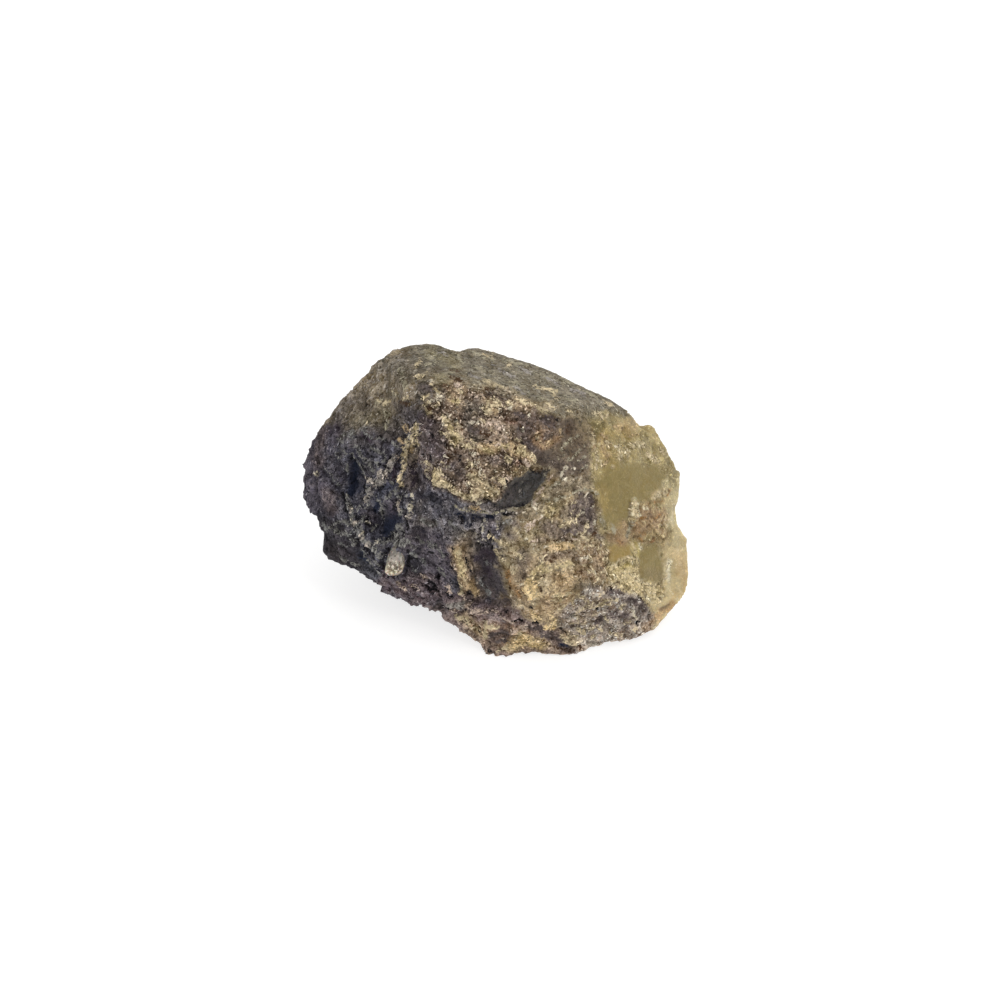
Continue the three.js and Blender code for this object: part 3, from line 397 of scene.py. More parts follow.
                                [(-2.3, -0.3), (-2.0, -0.3)], [(0.3, 11.5), (0.6, 11.1)], [(1.8, 11.7)],
                                [(4.2, 10.9)], [(1.0, 8.8), (1.2, 8.3)], [(-6.2, 10.9)], [(-8.4, 12.6)],
                                [(-1.9, 12.0)], [(-6.2, 4.2)], [(-3.1, 9.9)], [(-2.5, 9.8)], [(3.4, 9.1)], [(-5.7, 6.9)],
                                [(-2.0, 3.9), (-2.1, 3.4)], [(-0.3, 3.7)], [(5.2, 7.8)]]),
    ("cream", 1.00, 0.28, 0.2, [[(-7.9, 2.0), (-6.9, 2.3), (-6.1, 1.9), (-5.7, 1.5)], [(-5.5, 1.3), (-4.8, 0.7), (-3.9, 0.4)],
                                [(-3.2, 1.2), (-3.2, 0.5), (-2.6, 0.3)], [(-7.4, 3.8), (-7.2, 3.2)],
                                [(-3.6, 4.0), (-3.1, 4.6)], [(1.3, 5.5), (1.8, 5.0)], [(0.4, 2.7), (0.9, 2.1)],
                                [(-1.1, 12.7), (-0.9, 11.7), (-1.2, 11.2)], [(-0.5, 13.0), (0.2, 12.2)],
                                [(-3.3, 3.4), (-3.0, 2.6)], [(4.4, 5.6), (4.7, 5.2)], [(2.6, 7.7), (3.0, 7.4)],
                                [(3.4, 7.0), (3.6, 6.4)], [(-4.2, 7.0), (-3.4, 6.7)], [(-9.1, 12.2), (-8.7, 11.4)],
                                [(2.8, 12.6), (4.0, 12.4)], [(-8.9, 13.4), (-9.4, 13.2)], [(-6.9, 10.6), (-6.7, 10.2)]]),
    ("butter", 1.00, 0.34, 0.15, [[(-6.1, 9.4), (-5.6, 8.6)], [(-5.4, 8.1), (-5.0, 7.5)], [(-7.9, 3.6), (-7.5, 2.8)],
                                  [(2.3, 6.6), (2.9, 6.1)], [(3.1, 6.5), (3.6, 5.9)], [(-1.4, 6.4), (-0.6, 6.2)],
                                  [(0.4, 6.7), (1.4, 6.9)], [(-5.6, 12.8), (-5.0, 12.6)]]),
    ("cream", 1.15, 0.24, 0.25, [[(-7.7, 2.5), (-6.9, 2.2), (-6.2, 1.8)], [(-5.9, 1.4), (-5.0, 0.9), (-4.4, 0.6)],
                                 [(-4.0, 0.4), (-3.3, 0.1)]]),
    ("cream", 1.00, 0.14, 0.2, [[(-3.6, 3.2), (-3.0, 2.6)], [(-2.7, 3.0), (-2.3, 2.3)], [(-3.4, 2.2), (-2.8, 1.7)],
                                [(-2.2, 2.2), (-1.7, 1.6)], [(-1.4, 2.3), (-1.1, 1.6)], [(-2.4, 1.2), (-1.8, 0.9)],
                                [(-0.8, 1.6), (-0.4, 1.0)], [(-1.2, 0.7), (-0.6, 0.4)], [(-3.6, 4.9), (-2.7, 4.2)],
                                [(-3.4, 4.1), (-2.4, 4.9)], [(-0.6, 2.6), (-0.1, 3.1)], [(-1.9, 3.4), (-1.4, 2.9)],
                                [(-6.6, 9.9), (-6.2, 10.3)], [(-5.1, 9.7), (-4.7, 9.1)], [(-6.7, 8.6), (-6.3, 8.1)],
                                [(-4.7, 8.0), (-4.3, 7.4)], [(-5.9, 7.4), (-5.5, 6.9)], [(-7.3, 9.0), (-7.1, 8.4)],
                                [(-2.0, 10.3), (-1.5, 9.9)], [(-0.9, 9.4), (-0.4, 8.8)], [(-1.7, 11.9), (-1.4, 11.3)],
                                [(0.4, 12.4), (1.0, 12.0)], [(1.3, 12.5), (2.0, 12.1)], [(-0.4, 12.1), (0.1, 11.6)],
                                [(-7.7, 14.0), (-7.2, 13.6)], [(-6.4, 13.7), (-5.9, 13.2)], [(-8.9, 12.7), (-8.3, 12.3)],
                                [(-5.0, 14.0), (-4.4, 13.7)], [(-7.9, 12.0), (-7.4, 12.4)], [(-3.3, 7.6), (-2.7, 7.2)],
                                [(-2.4, 6.9), (-1.8, 6.5)], [(4.4, 5.9), (4.9, 5.3)], [(4.0, 5.0), (4.6, 4.7)],
                                [(-8.9, 5.1), (-8.5, 4.4)], [(-9.2, 3.4), (-8.7, 3.9)], [(-6.9, 4.9), (-6.6, 4.2)]]),
    ("rose", 1.15, 0.26, 0.2, [[(0.7, 9.3), (0.9, 8.6)], [(1.1, 8.3), (1.3, 7.7)], [(-0.4, 10.1), (0.2, 9.8)],
                               [(-1.2, 9.9), (-0.9, 9.5)], [(-5.3, 14.7), (-4.8, 14.5)], [(0.2, 6.9), (0.8, 6.6)],
                               [(-3.4, 13.7), (-2.7, 13.2)], [(3.6, 5.0), (4.1, 4.4)], [(0.0, 9.2), (0.4, 8.6)]]),
    ("tan", 0.65, 0.20, 0.1, [[(1.5, 7.2), (2.0, 6.8)], [(2.2, 3.9), (2.8, 3.7)], [(-1.2, 6.9), (-0.8, 6.6)]]),
    ("tan", 0.75, 0.22, 0.15, [[(5.4, 8.4), (5.3, 7.7), (5.8, 7.0)], [(6.3, 7.1), (7.1, 7.5)], [(8.0, 9.0), (8.1, 8.0)],
                               [(-0.2, 11.6), (-0.1, 11.0)], [(-3.2, -1.0), (-2.2, -1.2)], [(1.6, 6.2), (2.4, 5.7)]]),
    # painted shade in the boss's pits and cracks
    ("black", 1.10, 0.15, -0.3, [[(-8.6, 8.5), (-8.3, 8.2)], [(-7.4, 7.5), (-7.0, 7.2)], [(-6.7, 7.3), (-6.3, 6.8)],
                                [(3.0, 5.2), (3.1, 4.6), (3.2, 4.0)], [(-1.6, 0.0), (-1.1, -0.1), (-0.9, -0.3)], [(-2.8, -0.2)],
                                [(3.1, 7.3), (3.4, 7.2)], [(7.8, 10.4), (8.0, 10.3)], [(-0.1, 10.6)], [(0.4, 10.9)],
                                [(-0.9, 7.4)], [(-5.3, 10.4)], [(-4.7, 5.6), (-4.7, 5.0)], [(-6.9, 12.7)], [(-7.2, 12.0)],
                                [(-5.6, 1.8)], [(-7.7, 4.6), (-7.6, 4.2)], [(-8.7, 5.8), (-8.4, 4.9)], [(-9.6, 5.8), (-9.3, 5.3)],
                                [(-3.6, 0.9)], [(-9.9, 8.3)], [(-3.8, 11.4)], [(1.2, 2.3), (1.4, 1.9)]]),
    ("umber", 0.95, 0.20, -0.25, [[(-0.7, 8.6), (-0.9, 8.2)], [(-1.5, 8.6), (-1.3, 8.3)], [(-6.2, 14.4)], [(4.1, 5.0)],
                                  [(2.9, 4.9), (3.4, 4.4)], [(-5.3, 0.7), (-4.5, 0.2)],
                                  [(-5.4, 8.8)], [(-6.4, 7.0), (-6.0, 6.2)], [(-5.3, 6.2)], [(-6.2, 5.6), (-6.3, 4.8)],
                                  [(-2.1, 8.6)], [(1.9, 12.6)], [(-3.6, 3.9), (-3.1, 3.4)], [(-1.0, 0.5)], [(2.1, 3.6)],
                                  [(2.0, 10.2)], [(3.0, 9.5)], [(4.0, 12.7)], [(5.7, 8.0)],
                                  [(2.6, 7.0), (2.4, 6.4)], [(0.6, 5.6)], [(-8.8, 11.9), (-8.3, 11.8)], [(-4.4, 9.6), (-4.5, 9.0)]]),
    ("plum", 0.70, 0.35, -0.2, [[(-9.6, 10.4), (-8.6, 9.4), (-8.0, 9.6)], [(-7.6, 6.6), (-6.8, 6.2)], [(-3.4, 9.2), (-2.6, 8.8)],
                                  [(-5.4, 4.4), (-5.0, 3.4)], [(4.2, 7.4), (4.6, 6.6)], [(2.6, 11.0), (3.4, 10.9)],
                                  [(-9.5, 8.2), (-9.2, 7.4)], [(-8.2, 5.6), (-7.6, 5.0)]]),
    # the crease and the cavity at the boss's right
    ("straw grey", 0.55, 0.12, 0.05, [[(8.2, 6.2), (9.0, 7.3), (9.8, 8.0)], [(9.2, 5.0), (10.4, 6.0), (11.2, 6.8)],
                                      [(8.0, 5.2), (8.6, 6.0)], [(9.6, 7.2), (10.6, 8.4)], [(10.6, 5.0), (11.4, 5.6)],
                                      [(10.4, 3.6), (11.6, 4.4)], [(6.2, 3.2), (7.0, 4.4)], [(7.0, 1.6), (8.2, 2.2)]]),
    ("plum", 0.70, 0.24, -0.3, [[(6.2, 10.7), (7.2, 10.8), (7.8, 10.5)], [(6.4, 9.9), (6.9, 9.8)]]),
    ("umber", 0.60, 0.28, -0.1, [[(9.4, 9.4), (9.0, 8.6)], [(4.3, 4.2), (4.8, 3.8), (5.6, 3.7)], [(8.1, 7.8), (8.0, 7.2)]]),
    # the wedge and the ledges under the boss, with painted shade under the ledges
    ("cream", 0.95, 0.17, 0.2, [[(0.9, 2.5), (1.1, 1.9)], [(2.2, 3.4), (2.8, 3.6)], [(3.6, 4.2), (4.0, 4.4)], [(0.2, 0.6), (0.4, 1.2)]]),
    ("pale grey", 0.90, 0.13, 0.1, [[(3.1, 1.3), (3.1, 0.6)], [(3.4, 2.35)]]),
    ("rose", 0.75, 0.12, 0.1, [[(4.8, -0.7), (5.5, 0.6), (6.3, 1.9), (7.1, 3.2)]]),
    ("straw grey", 0.95, 0.13, 0.2, [[(3.9, -0.8), (3.0, -1.15), (2.0, -1.3), (0.9, -1.5), (-0.4, -1.7)],
                                     [(-1.0, -1.6), (-2.4, -1.5), (-4.0, -1.3), (-5.2, -0.8)]]),
    # painted shade in cracks of the wedge
    ("black", 0.75, 0.08, -0.1, [[(1.4, 0.8), (2.2, 1.8), (2.8, 2.2)],
                                 [(1.0, 0.3), (1.8, 0.9)]]),
    # painted shade in the cracks under the ledges
    ("black", 0.80, 0.12, -0.2, [[(4.0, -0.2), (3.5, -0.6), (2.6, -0.8), (1.6, -0.9)], [(1.2, -1.1), (0.4, -1.1), (-0.3, -0.8)],
                                 [(4.3, 4.0), (4.7, 3.6), (5.4, 3.5)], [(0.6, -1.9), (2.4, -1.9)]]),
    # painted shade under the boss's lower ledge, in blue-black and in black
    ("navy shade", 0.80, 0.24, -0.4, [[(-4.9, -2.0), (-4.1, -2.6), (-3.6, -3.3)], [(-3.0, -2.3), (-2.2, -2.5)], [(-1.2, -2.2), (-0.6, -2.2)]]),
    ("black", 1.10, 0.14, -0.4, [[(-4.9, -2.0), (-4.6, -2.6), (-4.4, -3.0)], [(-3.4, -2.9), (-3.3, -3.5)],
                                [(-1.9, -2.6), (-2.0, -4.0), (-2.2, -5.0), (-2.5, -5.8)], [(-2.1, -6.1), (-1.6, -5.8), (-1.0, -5.8)],
                                [(-1.1, -4.2), (-1.0, -5.2)], [(-4.4, -4.4)], [(-3.2, -4.4)], [(-6.8, -3.8)], [(-0.6, -6.2)]]),
    ("white", 0.95, 0.22, 0.25, [[(-1.6, -2.6), (-1.3, -2.8)]]),
    ("white", 0.95, 0.12, 0.2, [[(0.15, -2.8)], [(0.15, -3.3)], [(0.15, -3.8)], [(-1.6, -5.0), (-1.4, -5.3)], [(-0.6, -5.5)],
                                [(-0.3, -6.2)], [(-2.3, -5.6)], [(-1.9, -3.4), (-1.7, -3.8)], [(-3.9, -4.7)], [(-2.8, -4.5)],
                                [(3.3, -2.9)], [(0.9, -4.7)], [(-1.0, -4.5)]]),
    ("ash", 0.70, 0.22, 0.1, [[(-9.6, -2.6), (-8.6, -3.2), (-7.8, -3.0)], [(-8.6, -5.4), (-8.0, -6.2)],
                                    [(-10.2, -5.0), (-9.6, -5.8)], [(-11.0, -7.0), (-10.4, -7.2)], [(-7.4, -8.8), (-6.8, -9.6)],
                                    [(-7.2, -6.6), (-6.8, -7.2)], [(-5.9, -3.0), (-5.4, -3.8)], [(1.0, -3.0), (1.6, -2.8)]]),
    # painted shade in pits
    ("black", 0.80, 0.16, -0.2, [[(-7.3, -4.8)], [(-8.8, -6.8), (-8.2, -7.0)], [(-6.4, -7.0), (-6.0, -7.6)],
                                 [(-7.8, -9.8), (-7.6, -10.6)], [(-9.6, -3.6)], [(-11.0, -7.5), (-10.2, -7.8)],
                                 [(-6.2, -5.0)], [(-9.9, -8.6)], [(-7.2, -8.2)]]),
    # the vein, the groove and its bright rim
    ("butter", 1.20, 0.34, 0.3, [[(-5.2, -6.7), (-4.8, -7.6), (-4.5, -8.6), (-4.4, -9.4)]]),
    ("cream", 1.20, 0.22, 0.3, [[(-4.7, -10.4), (-4.5, -11.2), (-4.4, -11.9)], [(-4.2, -9.8), (-3.8, -10.6)],
                                [(-5.0, -6.3), (-4.7, -6.8)], [(-4.0, -8.2), (-3.9, -9.0)]]),
    ("tan", 0.75, 0.50, 0.2, [[(-5.1, -6.4), (-4.8, -8.6), (-4.3, -10.0)], [(-3.8, -10.6), (-3.0, -11.6), (-2.6, -12.2)]]),
    ("rose", 0.80, 0.19, 0.2, [[(-5.6, -7.6), (-5.3, -8.2), (-5.2, -8.8)], [(-5.0, -10.3)]]),
    # painted shade in the cracks beside the vein
    ("black", 1.10, 0.14, -0.3, [[(-4.3, -7.2), (-3.8, -8.0), (-3.5, -9.0), (-3.3, -9.7)], [(-5.2, -10.0), (-5.0, -10.9), (-4.6, -11.4)],
                                 [(-4.0, -11.9), (-3.5, -12.3)], [(-5.6, -6.3)]]),
    ("violet", 0.75, 0.35, -0.2, [[(-2.8, -7.5), (-2.5, -7.6)], [(-1.6, -6.8), (-0.6, -7.0)], [(-6.1, -7.4)],
                                  [(-1.2, -9.0), (-0.8, -9.8)]]),
    ("blue grey", 0.60, 0.30, 0.0, [[(-1.2, -8.2)], [(-1.3, -11.4), (-0.9, -12.2)], [(-2.4, -10.4), (-2.0, -11.0)]]),
    ("cream", 0.70, 0.30, 0.15, [[(-0.2, -6.4), (0.4, -7.2), (1.2, -8.2), (2.2, -9.2)], [(0.4, -5.4), (1.6, -5.9), (2.4, -6.6)],
                                 [(-0.8, -4.4), (-0.2, -5.2)], [(2.4, -7.0), (3.4, -7.4)]]),
    ("orange", 0.65, 0.22, 0.1, [[(1.4, -9.2), (1.6, -10.4), (1.8, -11.4)], [(2.4, -11.4), (3.0, -12.4)]]),
    ("umber", 0.90, 0.15, -0.2, [[(3.1, -11.6), (3.8, -12.4)], [(1.6, -11.2), (1.6, -11.7)], [(5.6, -10.0), (6.2, -9.8)]]),
    ("corn", 1.30, 0.60, 0.2, [[(4.3, -10.6), (4.5, -11.7)], [(3.9, -11.5), (4.9, -11.0)], [(4.6, -12.3)]]),
    ("butter", 1.15, 0.30, 0.2, [[(4.7, -9.8), (5.2, -9.1), (5.8, -8.3)], [(6.1, -9.3), (7.0, -8.8)],
                                 [(8.0, -8.8), (8.8, -8.4), (9.5, -8.1)], [(8.0, -12.2), (8.2, -13.0)]]),
    ("umber", 0.95, 0.14, -0.2, [[(5.7, -9.8), (6.2, -10.0)], [(6.4, -7.8), (7.2, -8.1)], [(5.6, -11.4), (5.8, -12.0)],
                                 [(7.2, -9.9), (7.8, -9.7)], [(3.4, -10.2), (3.8, -9.6)]]),
    ("white", 0.90, 0.14, 0.1, [[(3.4, -10.9)], [(8.0, -9.2)], [(9.5, -8.1)], [(4.9, -12.8)], [(8.8, -12.7)],
                                [(5.4, -10.9)], [(6.3, -6.1)], [(4.3, -12.2)]]),
    ("cream", 0.72, 0.20, 0.12, [[(6.1, -7.3), (5.6, -8.2), (5.2, -9.0), (4.6, -9.8)], [(6.4, -9.0), (7.2, -8.8)],
                                 [(8.4, -8.6), (9.2, -8.3)], [(5.6, -9.6), (5.5, -10.2)], [(4.4, -12.7), (4.9, -13.4)],
                                 [(7.4, -12.6), (7.6, -13.4)], [(8.8, -12.4), (9.6, -12.2)]]),
    # the streaked face
    ("white", 1.30, 0.27, 0.2, [[(8.85, 4.05)], [(8.45, 3.4)], [(8.5, 2.7), (8.7, 2.65)]]),
    ("white", 0.90, 0.17, 0.2, [[(4.7, -0.5), (4.6, -1.0), (5.0, -1.2)], [(3.7, -5.0)], [(8.8, 4.0)], [(5.2, -0.7)]]),
    ("butter", 0.72, 0.28, 0.12, [[(6.8, -0.5), (7.2, -1.2), (7.9, -1.6), (7.5, -2.3)], [(6.4, -1.6), (6.8, -2.2)]]),
    ("cream", 0.80, 0.10, 0.1, [[(8.4, -0.2), (8.8, -0.6)], [(9.2, 0.0), (9.0, -0.5)], [(9.6, -0.6), (10.0, -0.3)], [(8.2, -1.2)],
                                [(9.0, -1.3), (9.4, -1.0)], [(9.9, -1.4), (9.7, -1.8)], [(8.6, -2.0), (9.0, -1.8)],
                                [(10.5, -1.8), (10.4, -2.3)], [(7.6, -0.6), (8.0, -0.4)], [(6.9, -2.8), (7.4, -2.5)],
                                [(5.6, -1.6), (6.0, -1.2)], [(5.8, 0.4), (6.4, 1.0)], [(4.6, -4.4), (4.8, -4.9)]]),
    ("cream", 0.82, 0.20, 0.2, [[(8.2, -3.5), (8.8, -3.1), (9.4, -2.7), (9.9, -2.5)], [(10.1, -2.8), (10.3, -3.4)],
                                [(11.6, -3.0), (11.5, -3.6), (11.3, -4.2)]]),
    ("white", 0.90, 0.11, 0.15, [[(11.1, -1.4), (11.0, -1.8)], [(10.6, -1.9)], [(12.6, -2.7), (12.5, -3.2)], [(12.5, -0.9)],
                                 [(11.9, -4.4)], [(3.6, -4.1)], [(5.8, -2.2)], [(6.2, 2.0)], [(7.6, 2.2)], [(12.2, -4.0)],
                                 [(9.9, 4.0)], [(11.5, -3.3)], [(9.3, -2.8)], [(7.5, -1.5)]]),
    ("rose", 0.75, 0.10, 0.1, [[(3.2, -3.7), (4.4, -3.1), (5.8, -2.4)], [(4.0, -3.9), (4.8, -3.3)],
                               [(10.4, -5.2), (9.4, -4.9), (8.6, -4.7)], [(4.4, -5.4), (5.4, -5.2)]]),
    ("straw grey", 0.80, 0.14, 0.15, [[(9.2, 0.4), (10.4, 1.2), (12.2, 1.3), (13.0, 0.6)], [(6.0, -0.2), (7.6, 0.0), (9.0, 0.5)]]),
    ("apricot", 1.30, 0.30, 0.3, [[(6.8, -6.4), (7.5, -6.0), (8.3, -5.85), (9.1, -5.9), (9.8, -6.1)], [(7.3, -6.3), (8.9, -6.3)]]),
    ("white", 0.85, 0.12, 0.1, [[(6.8, -6.4), (7.2, -6.0)], [(9.2, -5.9), (9.7, -6.1)], [(8.0, -5.6)]]),
    ("gold", 0.90, 0.16, 0.0, [[(8.2, -6.0), (8.6, -5.9)]]),
    ("umber", 0.80, 0.07, -0.1, [[(6.4, -5.3), (6.8, -5.4)], [(7.4, -5.3), (8.0, -5.2)], [(8.8, -5.2), (9.4, -5.3), (10.0, -5.6)]]),
    ("umber", 0.85, 0.11, -0.2, [
                                 [(6.3, -6.2), (6.6, -6.7)], [(7.1, -7.4), (7.6, -7.5)], [(9.7, -7.8), (10.4, -8.0)],
                                 [(9.4, -6.8)], [(8.2, -2.2)], [(7.4, -2.1)], [(11.0, -9.4), (11.3, -9.8)],
                                 [(10.6, -2.6), (11.2, -3.1)], [(12.4, -4.5), (12.9, -3.9)]]),
    ("plum", 0.65, 0.26, -0.15, [[(10.8, 0.6), (11.2, -0.4)], [(11.8, -1.2), (12.0, -2.2)], [(12.2, 0.4), (12.4, -0.4)],
                                 [(9.4, -3.9), (10.2, -4.3)], [(8.9, -4.2), (8.5, -4.0)]]),
    ("white", 0.90, 0.11, 0.15, [[(10.4, -7.1)], [(11.0, -7.5), (11.5, -7.4)], [(10.7, -7.6)], [(12.2, -8.0)],
                                 [(12.5, -9.2), (12.8, -9.6)], [(13.6, -10.7)], [(11.3, -6.4)]]),
    ("cream", 0.80, 0.12, 0.15, [[(13.4, -5.4), (13.9, -6.2), (14.2, -7.4), (14.4, -8.2)], [(12.8, -5.8), (13.4, -6.6)],
                                 [(10.6, -4.4), (11.4, -5.0), (12.4, -5.4), (13.2, -5.2)], [(11.0, -6.2), (11.8, -5.9), (12.6, -6.1)],
                                 [(12.6, -10.6), (13.2, -9.8), (13.9, -8.8)], [(12.2, -8.6), (12.6, -9.6), (13.2, -10.4)],
                                 [(13.8, -9.0), (14.4, -10.0), (14.9, -10.8)], [(11.3, -8.6), (12.0, -9.4)],
                                 [(13.3, -7.0), (13.6, -8.0)], [(11.8, -7.2), (12.3, -7.9)], [(10.2, -6.4), (10.7, -6.8)]]),
    # the waxy end
    ("cream", 1.10, 0.14, 0.12, [[(18.8, -10.6), (19.6, -11.1), (20.6, -11.1), (21.5, -10.5), (22.0, -9.8)],
                                 [(15.0, -8.8), (15.8, -7.9), (16.9, -7.4), (17.9, -7.6), (18.3, -8.2)]]),
    ("milk", 1.20, 0.24, 0.10, [[(22.4, -7.9), (22.15, -9.0), (22.2, -10.4)]]),
    ("cream", 0.75, 0.20, 0.1, [[(12.4, 8.6), (12.7, 7.8), (12.5, 7.2)], [(12.9, 6.2), (13.0, 5.2), (12.8, 4.0)],
                                [(13.4, 4.9), (13.6, 4.4)], [(15.0, 4.2)], [(12.2, 1.6), (12.6, 1.0)],
                                [(13.2, 10.6), (14.2, 10.9)]]),
    ("tan", 0.60, 0.15, 0.0, [[(12.6, 7.0), (12.4, 6.4)], [(13.6, 8.4), (14.2, 8.0)], [(14.4, 5.9), (14.2, 5.0), (13.8, 4.4)],
                              [(13.6, 6.8), (13.9, 6.2)], [(15.2, 9.4), (16.2, 9.2)], [(17.2, 8.2), (18.2, 8.4)]]),
    ("cream", 0.62, 0.32, 0.1, [[(14.3, 7.3), (14.6, 7.0)], [(15.8, 6.9), (16.1, 6.0), (16.0, 5.4)], [(16.7, 6.5), (16.9, 5.8)],
                                [(18.2, 7.2), (18.8, 7.0)], [(19.6, 5.7), (20.2, 5.5), (20.6, 4.9)], [(17.4, 6.9)],
                                [(21.3, 6.4), (21.7, 6.0)]]),
    ("milk", 0.80, 0.12, 0.1, [[(14.5, 7.2)], [(15.6, 6.3)], [(16.2, 6.6)], [(16.5, 6.0)], [(16.0, 5.6)], [(17.2, 6.1)],
                                [(18.3, 6.9)], [(19.9, 5.3)], [(20.5, 5.5)], [(19.0, 7.2)], [(15.2, 6.8)]]),
    ("cream", 1.15, 0.42, 0.15, [[(17.8, -0.5), (17.7, -1.4), (17.9, -1.8)]]),
    ("milk", 1.20, 0.2, 0.3, [[(17.7, 0.0)], [(18.1, -0.6)], [(17.5, -0.9)], [(18.0, -1.5)], [(17.4, -1.9)], [(18.3, -2.0)]]),
    ("milk", 0.80, 0.13, 0.15, [[(17.5, -0.8)], [(18.1, -1.0)], [(17.9, -1.7), (18.2, -1.9)], [(17.3, -1.5)], [(17.8, 0.1)],
                                 [(19.0, -1.1), (19.3, -1.2)]]),
    ("umber", 0.60, 0.07, -0.1, [[(17.3, -0.4), (17.1, -1.2), (17.2, -2.2)], [(18.5, -0.9), (18.7, -1.6)]]),
    ("straw grey", 0.62, 0.20, 0.05, [[(13.4, -2.2), (13.8, -3.2), (14.2, -4.0)], [(14.8, -3.4), (15.2, -4.2)],
                                      [(17.4, -3.0), (17.1, -3.9), (16.8, -4.8)]]),
    ("cream", 0.80, 0.28, 0.1, [[(20.4, 0.3), (21.0, 0.8), (21.6, 0.9)]]),
    ("orange", 0.60, 0.12, 0.0, [[(19.6, -0.5), (20.4, -0.3), (21.4, -0.2)], [(22.0, 0.6), (22.3, 1.2)], [(18.6, -4.2), (19.2, -4.5)],
                                 [(20.4, -2.4), (21.0, -2.0)], [(18.4, -5.0), (18.9, -5.4)], [(19.9, -5.5), (20.4, -5.1)],
                                 [(15.6, -5.4), (16.2, -5.6)], [(18.4, -2.6), (19.2, -2.3)]]),
    ("butter", 0.80, 0.14, 0.1, [[(20.3, -0.8)], [(20.9, -1.2)], [(18.8, -3.4)], [(19.2, -2.9)], [(21.0, -3.3), (21.5, -3.6)],
                               [(20.8, -4.6)], [(21.5, -4.7)], [(22.4, -5.5)], [(20.2, -3.8)], [(19.2, -5.1)], [(20.6, -5.2)],
                               [(22.0, -3.0)], [(21.6, -2.2)]]),
    ("umber", 0.70, 0.08, -0.1, [[(17.8, -4.9)], [(18.6, -5.3)], [(19.8, -5.3)], [(20.3, -4.9)], [(21.0, -5.2)], [(19.0, -4.0)],
                                 [(21.8, -5.0)], [(20.0, -2.2)], [(19.4, -3.4), (19.9, -3.2)], [(18.2, -3.6)]]),
    ("umber", 0.80, 0.10, -0.15, [[(14.3, -6.6), (14.4, -7.4)], [(13.9, -6.0), (13.9, -6.3)]]),
    ("butter", 0.95, 0.17, 0.1, [[(14.9, -9.6), (15.6, -8.8), (16.6, -8.0), (17.6, -7.8)], [(15.2, -9.9), (16.2, -9.2), (17.2, -8.9)],
                                [(17.8, -7.4), (18.1, -8.2)], [(14.4, -8.6), (14.8, -9.6)], [(17.6, -5.8), (18.0, -6.6), (17.8, -7.2)]]),
    ("milk", 0.85, 0.14, 0.1, [[(15.0, -9.8), (15.4, -10.1)], [(18.4, -5.9), (18.7, -6.4)], [(17.4, -8.1)]]),
    ("butter", 1.10, 0.19, 0.15, [[(15.0, -10.6), (16.0, -11.4), (17.2, -12.0)], [(15.6, -10.4), (16.8, -11.0), (18.0, -11.8)],
                                 [(17.0, -11.2), (18.4, -12.0), (19.4, -13.2)], [(18.6, -11.4), (19.6, -12.2), (20.8, -13.2)],
                                 [(17.6, -10.8), (19.2, -11.2), (21.0, -11.3)], [(18.8, -12.6), (19.6, -13.6), (20.6, -14.4)],
                                 [(16.4, -9.8), (17.4, -10.4)], [(19.8, -11.6), (21.2, -12.0)]]),
    ("milk", 0.90, 0.12, 0.15, [[(15.0, -10.9), (15.6, -11.2)], [(19.2, -12.4), (19.6, -13.0)], [(17.2, -11.8), (17.8, -12.2)],
                                 [(19.8, -12.0)], [(15.0, -9.9)], [(18.8, -11.7)]]),
    ("umber", 0.80, 0.10, -0.2, [[(14.8, -11.3), (15.6, -10.6)], [(18.7, -12.7), (18.9, -13.0)], [(19.6, -13.4), (19.9, -13.9)],
                                 [(21.2, -14.2), (22.4, -13.6)]]),
    # the peppered foot
    ("cream", 0.85, 0.15, 0.2, [[(10.2, -14.6), (11.2, -13.9), (12.4, -13.4), (13.8, -13.0), (15.6, -12.9)],
                                [(10.6, -15.8), (10.4, -14.8)], [(14.8, -11.4), (15.4, -10.9)], [(9.8, -13.2), (10.0, -13.9)],
                                [(12.0, -14.0), (13.4, -13.6), (14.6, -13.5)]]),
    ("white", 0.90, 0.13, 0.2, [[(17.4, -14.2), (17.6, -14.9), (18.2, -15.4)], [(15.2, -16.5)], [(17.2, -16.7)], [(18.4, -15.6)],
                                [(12.6, -13.4), (13.2, -13.2)], [(10.5, -14.4)]]),
    ("cream", 0.80, 0.14, 0.2, [[(9.4, -15.9), (10.4, -16.0), (11.4, -15.8)], [(11.0, -15.2), (11.6, -15.7)], [(12.2, -13.4), (11.4, -12.8)],
                                [(18.0, -16.2), (17.6, -16.6)], [(12.8, -16.0), (13.6, -16.6)], [(14.6, -17.2), (16.4, -17.5)],
                                [(10.4, -12.4), (11.2, -12.6)], [(12.2, -17.8), (12.6, -17.4)], [(8.2, -14.0), (8.8, -13.6)],
                                [(13.0, -12.4), (13.6, -12.0)], [(11.9, -16.8), (12.4, -16.4)], [(13.8, -14.8), (14.2, -15.4)],
                                [(16.0, -13.9), (16.5, -13.6)], [(12.4, -15.0), (12.9, -14.6)], [(17.2, -15.7), (16.6, -16.0)]]),
    # painted shade in pits and cracks of the foot
    ("black", 0.90, 0.12, -0.25, [[(8.2, -16.8), (8.9, -17.3)], [(14.5, -11.3), (15.0, -11.7)], [(10.9, -14.7), (11.3, -14.6)],
                                  [(9.4, -16.3), (10.6, -16.3)], [(14.6, -14.1)], [(9.6, -15.0)], [(18.0, -15.9), (18.4, -15.6)],
                                  [(10.2, -14.1)], [(13.0, -14.2)], [(16.6, -15.8)]]),
    ("plum", 0.70, 0.35, -0.1, [[(14.5, -12.1), (15.8, -12.1)], [(16.6, -12.9), (18.0, -13.2), (19.2, -13.9)],
                                [(14.8, -14.6), (15.8, -15.0), (16.8, -15.0)], [(13.4, -15.4), (12.9, -15.8)]]),
    # the lip's layers
